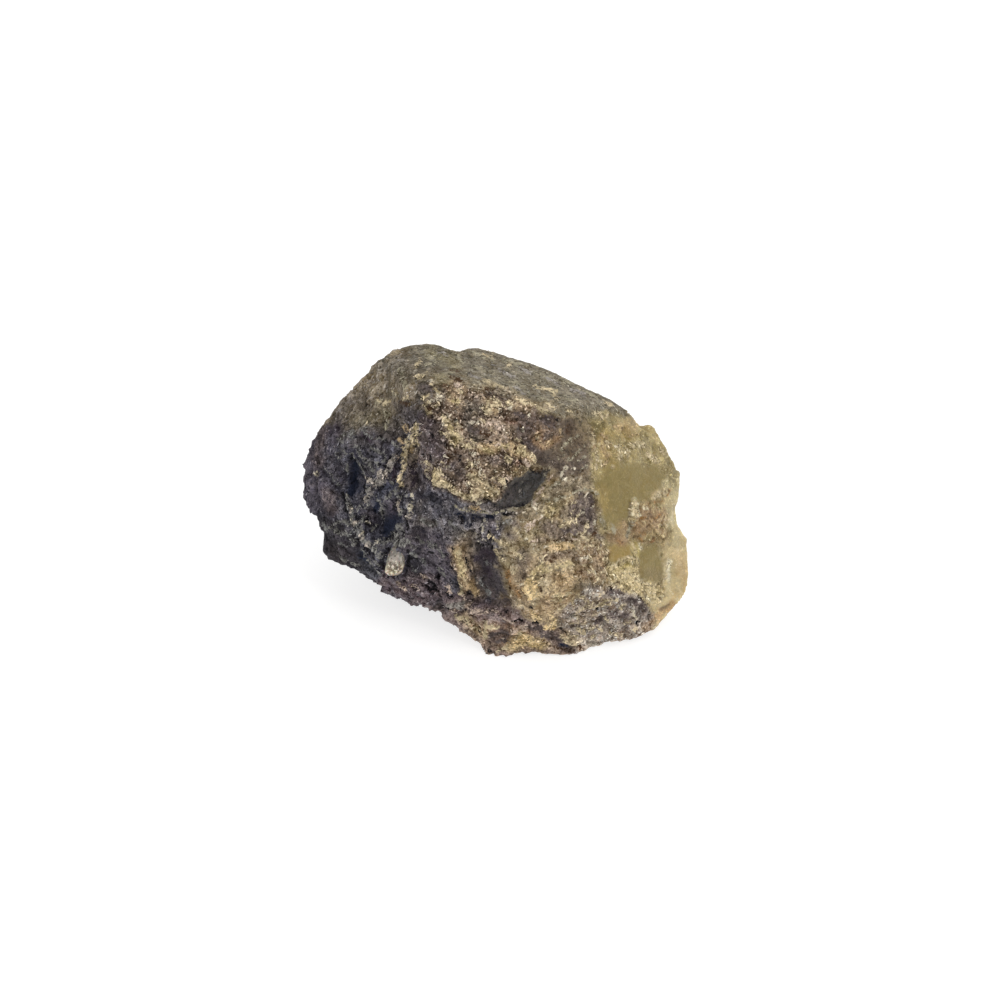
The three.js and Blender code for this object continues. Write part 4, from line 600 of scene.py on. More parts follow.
    ("pale grey", 1.25, 0.34, 0.15, [[(-6.0, -13.6), (-5.2, -13.4), (-4.3, -13.7)]]),
    ("rose", 1.20, 0.14, 0.25, [[(-4.4, -13.5), (-3.4, -13.8), (-2.4, -14.2), (-1.4, -14.4), (0.2, -14.5), (1.2, -15.2), (2.4, -15.9)],
                               [(-6.8, -14.2), (-5.0, -14.6)], [(2.2, -17.2), (3.0, -16.4), (3.8, -16.0)],
                               [(3.6, -16.2), (3.4, -16.8)], [(0.8, -15.0), (1.4, -15.6)]]),
    # painted shade in the cracks between the lip's layers, and in pits
    ("black", 1.15, 0.13, -0.35, [[(-7.6, -14.3), (-6.4, -14.2), (-4.6, -14.4)], [(-5.2, -14.9), (-3.8, -14.3), (-2.6, -14.7)],
                                 [(-1.0, -14.4), (0.4, -14.8), (1.2, -14.6)], [(-4.4, -15.6), (-3.4, -15.9)], [(2.2, -15.4), (3.2, -15.8)],
                                 [(4.8, -15.9), (5.4, -15.8)], [(4.2, -13.9), (4.6, -14.0)], [(-2.4, -16.6), (-2.2, -17.2)], [(-0.9, -18.6)],
                                 [(-0.4, -19.8), (-1.0, -19.4)], [(5.4, -16.4)]]),
    ("cream", 1.15, 0.22, 0.2, [[(-5.2, -15.0), (-4.4, -15.4)], [(-3.9, -15.6), (-3.4, -15.9)], [(-1.3, -15.8), (-1.5, -16.8), (-1.4, -17.8)],
                                 [(-3.2, -16.4), (-2.6, -16.9)], [(-1.0, -16.4), (0.2, -16.3)], [(0.2, -19.4), (1.4, -19.0)]]),
    # the lip's bright tan: partly its own colour, partly painted light on this band, which faces down
    ("corn", 1.20, 0.42, 0.15, [[(2.3, -19.0), (3.0, -17.9), (4.2, -17.8)], [(4.4, -18.5), (5.6, -18.9)], [(3.4, -18.6)]]),
    ("corn", 0.85, 0.30, 0.15, [[(4.6, -14.6), (5.4, -15.6)], [(7.0, -14.8), (7.4, -15.8)], [(6.2, -16.4), (7.4, -16.6)]]),
    ("cream", 1.15, 0.22, 0.2, [[(9.2, -17.6), (10.2, -17.7)], [(9.6, -18.3), (10.4, -18.6)], [(10.4, -16.7), (11.2, -16.9)],
                                 [(3.0, -17.2), (2.6, -18.0)], [(8.2, -17.4), (9.0, -18.2)]]),
    ("plum", 1.00, 0.32, -0.2, [[(-0.8, -17.6), (0.2, -17.2), (1.4, -17.4)], [(0.2, -18.4), (1.0, -18.2)], [(4.0, -16.5), (5.8, -16.8)],
                                [(5.8, -17.5), (7.0, -17.8), (8.2, -18.4)], [(-0.2, -13.4), (1.4, -13.2)]]),
    # painted shade along the bottom edge, in blue-black
    ("navy shade", 0.80, 0.20, -0.3, [[(8.2, -18.7), (9.4, -18.8)]]),
    ("umber", 0.80, 0.16, -0.2, [[(5.8, -18.2), (6.6, -18.6)], [(8.4, -19.3), (9.6, -19.4)], [(10.4, -18.5), (10.8, -19.2)],
                                 [(7.0, -19.0), (7.8, -19.2)], [(-3.2, -15.0), (-2.6, -15.4)]]),
    # painted shade in the gap round the crystal
    ("black", 0.95, 0.14, -0.4, [[(-14.1, -6.4), (-14.7, -7.8), (-14.9, -9.1), (-14.0, -9.9), (-12.9, -10.2)],
                                 [(-11.5, -6.6), (-11.4, -8.6), (-11.9, -10.0)]]),
    # painted shade in the holes along the lower left edge
    ("black", 1.20, 0.17, -0.6, [[(-8.9, -10.5), (-8.3, -11.0), (-7.5, -11.8)], [(-9.2, -11.5), (-8.8, -11.6), (-8.0, -11.9)]]),
    ("black", 1.00, 0.13, -0.3, [[(-6.8, -12.1), (-6.2, -12.4), (-5.8, -12.8)], [(-10.9, -11.4), (-10.5, -11.7)], [(-8.5, -12.2)],
                                [(-9.4, -10.9), (-9.4, -11.3)], [(-9.6, -12.9)], [(-12.6, -10.4), (-12.0, -10.7)], [(-2.6, -12.7), (-2.2, -12.8)]]),
    ("rose", 0.60, 0.21, 0.1, [[(-11.0, -11.2), (-10.2, -11.5)], [(-9.6, -9.9), (-9.0, -10.2)], [(-6.2, -11.2), (-5.6, -11.8)],
                               [(-12.8, -11.2), (-12.0, -11.8)], [(-4.4, -12.4), (-4.2, -13.0)]]),
    # the shoulder and the top
    ("straw grey", 0.62, 0.26, 0.1, [[(-15.4, 12.4), (-14.6, 13.0)], [(-13.4, 14.0), (-12.8, 13.4)], [(-12.2, 15.6), (-11.6, 14.4)],
                                 [(-16.6, 9.8), (-16.9, 10.0)], [(-14.4, 9.4), (-14.0, 10.0)], [(-12.4, 16.6), (-12.0, 16.0)],
                                 [(-14.6, 11.4), (-14.0, 10.8)]]),
    ("cream", 0.75, 0.17, 0.1, [[(-15.4, 12.8), (-14.8, 12.6)], [(-13.3, 13.9), (-12.9, 13.7)], [(-10.6, 16.0), (-9.8, 15.9), (-9.0, 16.3)],
                                [(-14.4, 12.2), (-13.8, 12.8)], [(-16.8, 9.9)], [(-11.4, 12.2)], [(-12.0, 12.9), (-11.4, 13.2)],
                                [(-10.4, 17.2), (-9.8, 18.0)], [(-8.4, 14.8), (-8.0, 14.4)], [(4.8, 14.6), (6.2, 14.1), (7.8, 14.0)],
                                [(7.3, 13.6), (8.0, 12.9)], [(1.4, 17.3), (1.8, 17.3)], [(-1.8, 15.4), (-0.4, 14.8), (0.8, 14.4)],
                                [(4.6, 12.4), (5.6, 11.8), (6.6, 11.3)], [(6.4, 12.2), (7.4, 11.6)], [(-4.1, 15.9)], [(-1.8, 18.6), (-0.6, 18.2)],
                                [(12.4, 11.2), (13.4, 11.2)], [(9.0, 11.6), (9.8, 11.2)], [(14.0, 12.6), (14.8, 12.0)]]),
    ("straw grey", 0.95, 0.17, 0.15, [[(-3.0, 18.8), (-1.6, 18.3), (-0.4, 17.8)], [(-5.2, 18.6), (-4.4, 17.6)], [(-3.0, 17.2), (-1.4, 16.6)],
                                    [(1.0, 18.0), (2.6, 17.4), (4.0, 17.2)], [(2.0, 15.2), (3.6, 14.6)], [(4.8, 16.4), (6.2, 15.8), (7.0, 15.8)],
                                    [(8.2, 15.4), (9.6, 14.8)], [(8.8, 13.2), (10.4, 12.6)], [(11.4, 13.9), (13.0, 13.1)], [(5.4, 13.2), (6.4, 12.8)],
                                    [(-9.2, 17.2), (-8.0, 17.6)], [(-8.8, 18.6), (-7.8, 18.2)], [(-6.6, 16.2), (-5.8, 16.4)]]),
    ("pale grey", 0.75, 0.16, 0.1, [[(0.6, 16.6), (2.4, 15.8)], [(3.0, 17.0), (4.4, 16.2)], [(6.4, 15.6), (8.0, 14.9)], [(-3.6, 16.2), (-2.0, 15.4)],
                                    [(9.6, 14.2), (11.4, 13.4)], [(-7.4, 19.0), (-6.4, 18.6)], [(2.4, 14.4), (3.8, 13.4)], [(-0.6, 17.4), (0.4, 16.8)]]),
    ("umber", 0.60, 0.20, -0.1, [[(-5.8, 15.7), (-4.6, 15.4)], [(-6.0, 16.7), (-4.8, 16.6)], [(-12.4, 12.6), (-11.6, 12.2)], [(-2.0, 14.3), (-0.4, 14.2)],
                                 [(-13.8, 10.6)], [(-7.0, 14.6), (-6.3, 14.5)], [(-16.8, 13.4)]]),
]

# Rises and dents with no colour of their own: height, half width and paths
SHAPES = [
    (-0.20, 0.7, [[(22.9, 5.6), (22.4, 6.4)]]),
    (-0.70, 1.4, [[(-17.9, -9.2), (-16.4, -10.2), (-15.0, -11.0)]]),
    (-0.40, 1.2, [[(-13.2, -12.0), (-11.6, -12.8)], [(-9.4, -13.6), (-7.4, -14.6)]]),
    (0.30, 0.5, [[(23.2, 3.2)], [(24.3, -5.2)]]),
    (-0.45, 0.9, [[(23.6, -1.2), (23.4, -3.0)]]),
    (-0.40, 0.5, [[(18.4, 10.2), (18.9, 10.0)]]),
    (0.25, 0.3, [[(19.4, 9.8), (20.4, 9.2)]]),
    (-0.30, 0.35, [[(5.2, 4.3), (6.4, 3.8)]]),
    (-0.25, 0.35, [[(-5.0, -13.0), (-3.4, -13.5), (-1.6, -13.9), (0.6, -14.2)], [(-6.2, -14.2), (-4.0, -14.6)]]),
    (0.35, 0.30, [[(-5.8, -13.6), (-3.8, -13.9), (-1.6, -14.4), (0.8, -14.7), (2.4, -15.4)]]),
    (0.40, 0.45, [[(-8.0, 2.8), (-6.4, 2.0), (-4.6, 0.8), (-3.0, 0.2)], [(0.2, 9.8), (1.2, 8.2)], [(3.0, 6.6), (4.2, 5.4)]]),
    (-0.35, 0.5, [[(-9.2, 9.8), (-8.4, 8.6)], [(-4.8, 5.6), (-4.9, 3.6)], [(2.8, 8.6), (3.6, 7.6)]]),
]


def smooth(low, high, x):
    """0 below low, 1 above high, and smooth between."""
    t = np.clip((x - low) / (high - low), 0, 1)
    return t * t * (3 - 2 * t)


def stretch_distance(places, start, end):
    """Each place's distance from the straight stretch between two points."""
    along = end - start
    share = np.clip((places - start) @ along / max(along @ along, 1e-9), 0, 1)
    return np.linalg.norm(places - start - share[:, None] * along, axis=1)


def path_distance(places, path):
    """Each place's distance from a path, or from a single place."""
    points = np.array(path, float)
    ends = points[1:] if len(points) > 1 else points
    return np.min([stretch_distance(places, a, b) for a, b in zip(points, ends)], axis=0)


def near_path(places, path, reach):
    """Which places are in the box round a path, widened by reach."""
    points = np.array(path, float)
    return np.flatnonzero(np.all((places > points.min(0) - reach) & (places < points.max(0) + reach), axis=1))


def zone_cover(places, corners, softness):
    """How far each place is covered by a zone: 1 inside, 0 outside, soft at its edge."""
    points = np.array(corners, float)
    inside = np.zeros(len(places), bool)
    distance = np.full(len(places), np.inf)
    for a, b in zip(points, np.roll(points, -1, axis=0)):
        distance = np.minimum(distance, stretch_distance(places, a, b))
        crosses = (a[1] > places[:, 1]) != (b[1] > places[:, 1])
        at = a[0] + (places[:, 1] - a[1]) * (b[0] - a[0]) / (b[1] - a[1] if b[1] != a[1] else 1e-9)
        inside ^= crosses & (places[:, 0] < at)
    return smooth(-softness, softness, np.where(inside, distance, -distance))


def leaning(points):
    """Points in metres as across, up and out of the leaning frame, in millimetres."""
    axes = np.array([ACROSS, UP, OUT]).T
    return (points / MM - np.array(MIDDLE)) @ axes


def seen_from_front(lean):
    """Where each point shows on the girdle's plane, from EYE."""
    eye = np.array(EYE)
    nearer = (eye[2] / (eye[2] - lean[:, 2]))[:, None]
    return eye[:2] + (lean[:, :2] - eye[:2]) * nearer


def wander(lean, size, reach, seed):
    """A smooth random offset at each point."""
    shift = Vector((seed * 7.3, seed * 3.1, seed * 5.7))
    return reach * np.array([noise.noise_vector(Vector(p) / size + shift) for p in lean])


def vertex_places(mesh):
    places = np.empty(len(mesh.vertices) * 3)
    mesh.vertices.foreach_get("co", places)
    return places.reshape(-1, 3)


def keep_number(mesh, name, values):
    mesh.attributes.new(name, "FLOAT", "POINT").data.foreach_set("value", values.astype(np.float32))


def keep_colour(mesh, name, values):
    rgba = np.column_stack([values, np.ones(len(values))]).astype(np.float32)
    mesh.attributes.new(name, "FLOAT_COLOR", "POINT").data.foreach_set("color", rgba.ravel())


def finish_values(name):
    """A finish as one row of numbers, with its streaks as a direction as long as they are strong."""
    ground, grains, *shares, streak, run = FINISHES[name]
    angle = math.radians(run)
    return np.array([*ground, *grains, *shares, streak * math.cos(angle), streak * math.sin(angle)])


def hidden_side(lean):
    """The finish of the sides that the front's zones don't reach: dark at one end, olive at the other."""
    drift = wander(lean, 9, 7.0, 1)[:, 0] + wander(lean, 3.5, 2.4, 2)[:, 0]
    patch = wander(lean, 6, 1.0, 3) + wander(lean, 2.0, 0.25, 7) + wander(lean, 0.8, 0.16, 9)
    waxy = smooth(7, 13, lean[:, 0] + drift)
    steps = [("black rock", -14), ("underside", -6), ("moss", 0), ("streaked", 7), ("speckled", 13),
             ("olive", 18)]
    values = np.array([finish_values(name) for name, _ in steps])
    at = [place for _, place in steps]
    blend = np.array([np.interp(lean[:, 0] + drift, at, column) for column in values.T]).T
    for name, column, low in (("crust", 0, 0.22), ("sandy", 1, 0.34), ("slate", 2, 0.24)):
        cover = (0.8 * smooth(low, low + 0.22, patch[:, column]) * (1 - waxy))[:, None]
        blend = blend * (1 - cover) + finish_values(name) * cover
    blend[:, 10] *= 0.2
    return blend


def zone_finish(lean, seen):
    """Every point's finish, from the zones on the front and by its place elsewhere."""
    rough_edge = wander(lean, 2.6, 1.1, 4)[:, :2] + wander(lean, 0.9, 0.7, 5)[:, :2]
    finish = np.tile(finish_values("streaked"), (len(lean), 1))
    for name, softness, corners in ZONES:
        frayed = seen + rough_edge * min(0.15 + 1.1 * softness, 1.5)
        cover = zone_cover(frayed, corners, softness)[:, None]
        finish = finish * (1 - cover) + finish_values(name) * cover
    front = smooth(-11.0, -5.0, lean[:, 2])
    return finish * front[:, None] + hidden_side(lean) * (1 - front[:, None]), front


def lay_washes(finish, places, front):
    """Tints the grounds and the grains round each wash's paths."""
    for colour, strength, width, paths in WASHES:
        for path in paths:
            near = near_path(places, path, 1.6 * width)
            distance = path_distance(places[near], path)
            cover = (strength * (1 - smooth(0.2 * width, 1.6 * width, distance)) * front[near])[:, None]
            ground, grains = 0.62 * np.array(colour), min(1.5, 0.82 / max(colour)) * np.array(colour)
            finish[near, :3] = finish[near, :3] * (1 - cover) + ground * cover
            finish[near, 3:6] = finish[near, 3:6] * (1 - 0.8 * cover) + grains * 0.8 * cover


def lay_strokes(places, front):
    """How far inside a stroke each point is, in millimetres, with its colour, and how proud it stands."""
    reach = {"pale": np.full(len(places), -1.0), "dark": np.full(len(places), -1.0)}
    tone = {"pale": np.zeros((len(places), 3)), "dark": np.zeros((len(places), 3))}
    proud = np.zeros(len(places))
    for colour, strength, width, height, paths in STROKES:
        kind, other = ("dark", "pale") if colour in DARK_STROKES else ("pale", "dark")
        most = 0.4 * (strength - 0.5) + max(strength - 1, 0)
        for path in paths:
            near = near_path(places, path, width + 1.0)
            distance = path_distance(places[near], path)
            inside = np.minimum(width - distance, most) - 2 * (1 - front[near])
            over = near[inside > reach[kind][near]]
            tone[kind][over] = STROKE_COLOURS[colour]
            reach[kind][near] = np.maximum(reach[kind][near], inside)
            reach[other][near] = np.minimum(reach[other][near], 0.1 - 2 * inside)
            proud[near] += height * np.exp(-(distance / max(width, 0.2)) ** 2) * front[near]
    for height, width, paths in SHAPES:
        for path in paths:
            near = near_path(places, path, 3 * width)
            proud[near] += height * np.exp(-(path_distance(places[near], path) / width) ** 2) * front[near]
    return reach, tone, proud


def paint(mesh):
    """Lays the zones, washes and strokes on the stone's mesh as attributes."""
    lean = leaning(vertex_places(mesh))
    seen = seen_from_front(lean)
    finish, front = zone_finish(lean, seen)
    lay_washes(finish, seen + wander(lean, 1.4, 0.5, 8)[:, :2], front)
    reach, tone, proud = lay_strokes(seen + wander(lean, 0.9, 0.14, 6)[:, :2], front)
    marked = smooth(-0.25, 0.15, reach["pale"])
    finish[:, 7] *= 1 - 0.7 * marked
    flake = (0.15 + finish[:, 8]) * marked + 0.8 * finish[:, 9]
    keep_number(mesh, "flake", np.clip(flake, 0, 1))
    keep_colour(mesh, "ground", finish[:, :3])
    keep_colour(mesh, "grains", finish[:, 3:6])
    for kind in ("pale", "dark"):
        keep_colour(mesh, kind, tone[kind])
        keep_number(mesh, kind + " reach", reach[kind])
    for column, name in enumerate(("share", "wax", "rough", "crumb", "sliver")):
        keep_number(mesh, name, finish[:, 6 + column])
    lie = np.outer(finish[:, 11], ACROSS) + np.outer(finish[:, 12], UP)
    mesh.attributes.new("lie", "FLOAT_VECTOR", "POINT").data.foreach_set("vector", lie.astype(np.float32).ravel())
    keep_number(mesh, "falls", np.maximum(lie @ np.array(FALLING), 0) ** 2)
    keep_number(mesh, "rises", np.maximum(lie @ np.array(RISING), 0) ** 2)
    keep_number(mesh, "proud", proud)
    keep_number(mesh, "hidden", 1 - front)


# ---------------------------------------------------------------------------------------------
# Node trees
# ---------------------------------------------------------------------------------------------

def add(tree, kind, inputs=None, **settings):
    """A new node: its settings, and its inputs by name or number, each a value or another's output."""
    node = tree.nodes.new(kind)
    for name, value in settings.items():
        setattr(node, name, value)
    for key, value in (inputs or {}).items():
        if isinstance(value, bpy.types.NodeSocket):
            tree.links.new(value, node.inputs[key])
        else:
            node.inputs[key].default_value = value
    return node


def math_node(tree, operation, *values, clamp=False):
    return add(tree, "ShaderNodeMath", dict(enumerate(values)), operation=operation,
               use_clamp=clamp).outputs[0]


def vector_node(tree, operation, *values, scale=None):
    node = add(tree, "ShaderNodeVectorMath", dict(enumerate(values)), operation=operation)
    if scale is not None:
        if isinstance(scale, bpy.types.NodeSocket):
            tree.links.new(scale, node.inputs["Scale"])
        else:
            node.inputs["Scale"].default_value = scale
    number = operation in ("DOT_PRODUCT", "LENGTH", "DISTANCE")
    return node.outputs["Value" if number else "Vector"]


def ramp(tree, value, low, high, start=0.0, end=1.0):
    """value from low to high turned into start to end, smoothly."""
    return add(tree, "ShaderNodeMapRange",
               {"Value": value, "From Min": low, "From Max": high, "To Min": start, "To Max": end},
               interpolation_type="SMOOTHSTEP").outputs["Result"]


def mixed(tree, share, first, second, blend="MIX"):
    """Two colours mixed."""
    return add(tree, "ShaderNodeMix", {0: share, 6: first, 7: second}, data_type="RGBA",
               blend_type=blend).outputs[2]


def noise_node(tree, places, size, detail=2.0, roughness=0.5, distortion=0.0, kind="FBM"):
    return add(tree, "ShaderNodeTexNoise",
               {"Vector": places, "Scale": 1 / size, "Detail": detail, "Roughness": roughness,
                "Distortion": distortion}, noise_type=kind, normalize=kind != "RIDGED_MULTIFRACTAL")


def new_tree(name, sizes):
    """A Geometry Nodes tree with a named input for each size."""
    tree = bpy.data.node_groups.new(name, "GeometryNodeTree")
    tree.interface.new_socket("Geometry", in_out="INPUT", socket_type="NodeSocketGeometry")
    for size, value in sizes.items():
        kind = "NodeSocketInt" if isinstance(value, int) else "NodeSocketFloat"
        tree.interface.new_socket(size, in_out="INPUT", socket_type=kind).default_value = value
    tree.interface.new_socket("Material", in_out="INPUT", socket_type="NodeSocketMaterial")
    tree.interface.new_socket("Geometry", in_out="OUTPUT", socket_type="NodeSocketGeometry")
    return tree, tree.nodes.new("NodeGroupInput"), tree.nodes.new("NodeGroupOutput")


def grown(name, mesh, tree, inputs):
    """A new piece: the tree's result on a mesh, as a plain mesh."""
    base = bpy.data.objects.new(name + "_base", mesh)
    bpy.context.scene.collection.objects.link(base)
    modifier = base.modifiers.new(tree.name, "NODES")
    modifier.node_group = tree
    sockets = {s.name: s.identifier for s in tree.interface.items_tree if s.in_out == "INPUT"}
    for key, value in inputs.items():
        modifier[sockets[key]] = value
    made = bpy.data.meshes.new_from_object(base.evaluated_get(bpy.context.evaluated_depsgraph_get()))
    bpy.data.objects.remove(base)
    piece = bpy.data.objects.new(name, made)
    made.name = name
    bpy.context.scene.collection.objects.link(piece)
    return piece


def drawn_out(tree, places, along, factor):
    """Places squeezed along a direction, so that a pattern on them is drawn out along it."""
    reach = vector_node(tree, "DOT_PRODUCT", places, along)
    reach = math_node(tree, "MULTIPLY", reach, 1 / factor - 1)
    return vector_node(tree, "ADD", places, vector_node(tree, "SCALE", along, scale=reach))


def swirled(tree, places, size, reach):
    """Places bent by a soft noise."""
    shift = vector_node(tree, "SUBTRACT", noise_node(tree, places, size).outputs["Color"], (0.5, 0.5, 0.5))
    return vector_node(tree, "ADD", places, vector_node(tree, "SCALE", shift, scale=reach))


def named(tree, name, kind="FLOAT"):
    return add(tree, "GeometryNodeInputNamedAttribute", {"Name": name},
               data_type=kind).outputs["Attribute"]


def broken_surface_tree():
    """Chips, folds, pits and grit on the stone, as rough as its attribute says."""
    tree, given, result = new_tree("Broken surface", {
        "Chip size": 2.2, "Chip height": 0.40, "Small chip size": 0.95, "Small chip height": 0.26,
        "Fold size": 1.3, "Fold height": 0.42, "Streak size": 0.8, "Streak height": 0.14,
        "Grit size": 0.42, "Grit height": 0.16, "Facet size": 6.5, "Facet height": 1.3, "Swell": 0.06})
    size = given.outputs
    position = tree.nodes.new("GeometryNodeInputPosition").outputs[0]
    places = vector_node(tree, "SCALE", position, scale=1 / MM)
    bent = swirled(tree, places, 1.5, 0.5)

    def chips(name):
        """Each cell of the rock is broken off at its own tilt."""
        scale = math_node(tree, "DIVIDE", 1.0, size[name + " size"])
        cells = add(tree, "ShaderNodeTexVoronoi", {"Vector": bent, "Scale": scale})
        tilt = vector_node(tree, "SUBTRACT", cells.outputs["Color"], (0.5, 0.5, 0.5))
        offset = vector_node(tree, "SUBTRACT", bent, cells.outputs["Position"])
        slope = math_node(tree, "DIVIDE", size[name + " height"], size[name + " size"])
        return math_node(tree, "MULTIPLY", vector_node(tree, "DOT_PRODUCT", tilt, offset),
                         math_node(tree, "MULTIPLY", slope, 2.4))

    def noisy(name, where, detail, kind="FBM"):
        """A noise of one of the tree's sizes and heights."""
        wave = add(tree, "ShaderNodeTexNoise", {
            "Vector": where, "Scale": math_node(tree, "DIVIDE", 1.0, size[name + " size"]),
            "Detail": detail, "Roughness": 0.58}, noise_type=kind, normalize=True)
        return math_node(tree, "MULTIPLY", math_node(tree, "SUBTRACT", wave.outputs["Fac"], 0.5),
                         size[name + " height"])

    relief = math_node(tree, "ADD", chips("Chip"), chips("Small chip"))
    relief = math_node(tree, "ADD", relief, noisy("Fold", bent, 3.0))
    relief = math_node(tree, "ADD", relief, noisy("Grit", places, 2.0))
    relief = math_node(tree, "MULTIPLY", relief, named(tree, "rough"))
    for streaks, along in (("falls", FALLING), ("rises", RISING)):
        ridges = noisy("Streak", drawn_out(tree, bent, along, 4), 3.0)
        relief = math_node(tree, "MULTIPLY_ADD", ridges, named(tree, streaks), relief)
    kept = add(tree, "GeometryNodeStoreNamedAttribute",
               {"Geometry": given.outputs["Geometry"], "Name": "depth", "Value": relief},
               data_type="FLOAT", domain="POINT")
    height = math_node(tree, "ADD", relief, named(tree, "proud"))
    facets = math_node(tree, "MULTIPLY", chips("Facet"), named(tree, "rough"))
    height = math_node(tree, "MULTIPLY_ADD", facets, named(tree, "hidden"), height)
    height = math_node(tree, "ADD", height, size["Swell"])
    normal = tree.nodes.new("GeometryNodeInputNormal").outputs[0]
    offset = vector_node(tree, "SCALE", normal, scale=math_node(tree, "MULTIPLY", height, MM))
    moved = add(tree, "GeometryNodeSetPosition", {"Geometry": kept.outputs[0], "Offset": offset})
    split = add(tree, "ShaderNodeSeparateXYZ", {0: position})
    resting = add(tree, "ShaderNodeCombineXYZ", {
        0: split.outputs[0], 1: split.outputs[1], 2: math_node(tree, "MAXIMUM", split.outputs[2], 0.0)})
    flat = add(tree, "GeometryNodeSetPosition", {"Geometry": moved.outputs[0], "Position": resting.outputs[0]})
    shiny = add(tree, "GeometryNodeSetMaterial",
                {"Geometry": flat.outputs[0], "Material": given.outputs["Material"]})
    tree.links.new(shiny.outputs[0], result.inputs[0])
    return tree


def strewn_tree(name, sizes):
    """Angular bits strewn over the stone where an attribute is high, lying along its streaks."""
    tree, given, result = new_tree("Strewn " + name, sizes)
    size = given.outputs
    position = add(tree, "ShaderNodeSeparateXYZ",
                   {0: tree.nodes.new("GeometryNodeInputPosition").outputs[0]})
    clear = ramp(tree, position.outputs[2], 0.8 * MM, 1.6 * MM)
    points = add(tree, "GeometryNodeDistributePointsOnFaces", {
        "Mesh": given.outputs["Geometry"],
        "Distance Min": math_node(tree, "MULTIPLY", size["Nearest"], MM),
        "Density Max": math_node(tree, "DIVIDE", size["Density"], MM * MM),
        "Density Factor": math_node(tree, "MULTIPLY", named(tree, name), clear),
        "Seed": size["Seed"]}, distribute_method="POISSON")
    shapes = tree.nodes.new("GeometryNodeJoinGeometry")
    for variant in range(5):
        ball = add(tree, "GeometryNodeMeshIcoSphere", {"Radius": 1.0, "Subdivisions": 1})
        jitter = add(tree, "FunctionNodeRandomValue", {
            0: (-0.45, -0.45, -0.45), 1: (0.45, 0.45, 0.45), "Seed": 11 + variant},
            data_type="FLOAT_VECTOR")
        uneven = add(tree, "GeometryNodeSetPosition", {
            "Geometry": ball.outputs["Mesh"], "Offset": jitter.outputs[0]})
        as_one = add(tree, "GeometryNodeGeometryToInstance", {0: uneven.outputs[0]})
        tree.links.new(as_one.outputs[0], shapes.inputs[0])
    girth = add(tree, "FunctionNodeRandomValue", {
        2: math_node(tree, "MULTIPLY", size["Smallest"], MM),
        3: math_node(tree, "MULTIPLY", size["Largest"], MM), "Seed": 5}, data_type="FLOAT")
    longer = add(tree, "FunctionNodeRandomValue", {2: 1.0, 3: size["Length"], "Seed": 17}, data_type="FLOAT")
    scale = add(tree, "ShaderNodeCombineXYZ", {0: longer.outputs[1], 1: 0.8, 2: size["Flatness"]})
    free = add(tree, "FunctionNodeRandomValue", {
        0: (-1.0, -1.0, -1.0), 1: (1.0, 1.0, 1.0), "Seed": 7}, data_type="FLOAT_VECTOR").outputs[0]
    lying = vector_node(tree, "ADD", free, vector_node(
        tree, "SCALE", named(tree, "lie", "FLOAT_VECTOR"), scale=3.0))
    leant = add(tree, "FunctionNodeRandomValue", {
        0: (-1.0, -1.0, -1.0), 1: (1.0, 1.0, 1.0), "Seed": 19}, data_type="FLOAT_VECTOR").outputs[0]
    facing = vector_node(tree, "ADD", points.outputs["Normal"],
                         vector_node(tree, "SCALE", leant, scale=size["Tilt"]))
    turned = add(tree, "FunctionNodeAxesToRotation", {0: facing, 1: lying},
                 primary_axis="Z", secondary_axis="X")
    placed = add(tree, "GeometryNodeInstanceOnPoints", {
        "Points": points.outputs["Points"], "Instance": shapes.outputs[0], "Pick Instance": True,
        "Rotation": turned.outputs[0],
        "Scale": vector_node(tree, "SCALE", scale.outputs[0], scale=girth.outputs[1])})
    shade = add(tree, "FunctionNodeRandomValue", {"Seed": 13}, data_type="FLOAT")
    shaded = add(tree, "GeometryNodeStoreNamedAttribute", {
        "Geometry": placed.outputs[0], "Name": "shade", "Value": shade.outputs[1]},
        data_type="FLOAT", domain="INSTANCE")
    real = add(tree, "GeometryNodeRealizeInstances", {0: shaded.outputs[0]})
    finished = add(tree, "GeometryNodeSetMaterial", {
        "Geometry": real.outputs[0], "Material": given.outputs["Material"]})
    tree.links.new(finished.outputs[0], result.inputs[0])
    return tree


# ---------------------------------------------------------------------------------------------
# Materials
# ---------------------------------------------------------------------------------------------

def new_material(name):
    material = bpy.data.materials.new(name)
    material.use_nodes = True
    tree = material.node_tree
    shader = tree.nodes["Principled BSDF"]
    places = vector_node(tree, "SCALE", tree.nodes.new("ShaderNodeTexCoord").outputs["Object"],
                         scale=1 / MM)
    return material, tree, shader, places


def attribute(tree, name, output="Fac"):
    return add(tree, "ShaderNodeAttribute", attribute_name=name).outputs[output]


def blended(tree, share, first, second):
    """Two numbers mixed."""
    return add(tree, "ShaderNodeMix", {0: share, 2: first, 3: second}, data_type="FLOAT").outputs[0]


def centred(tree, value, reach):
    """A noise about zero, scaled."""
    return math_node(tree, "MULTIPLY", math_node(tree, "SUBTRACT", value, 0.5), reach)


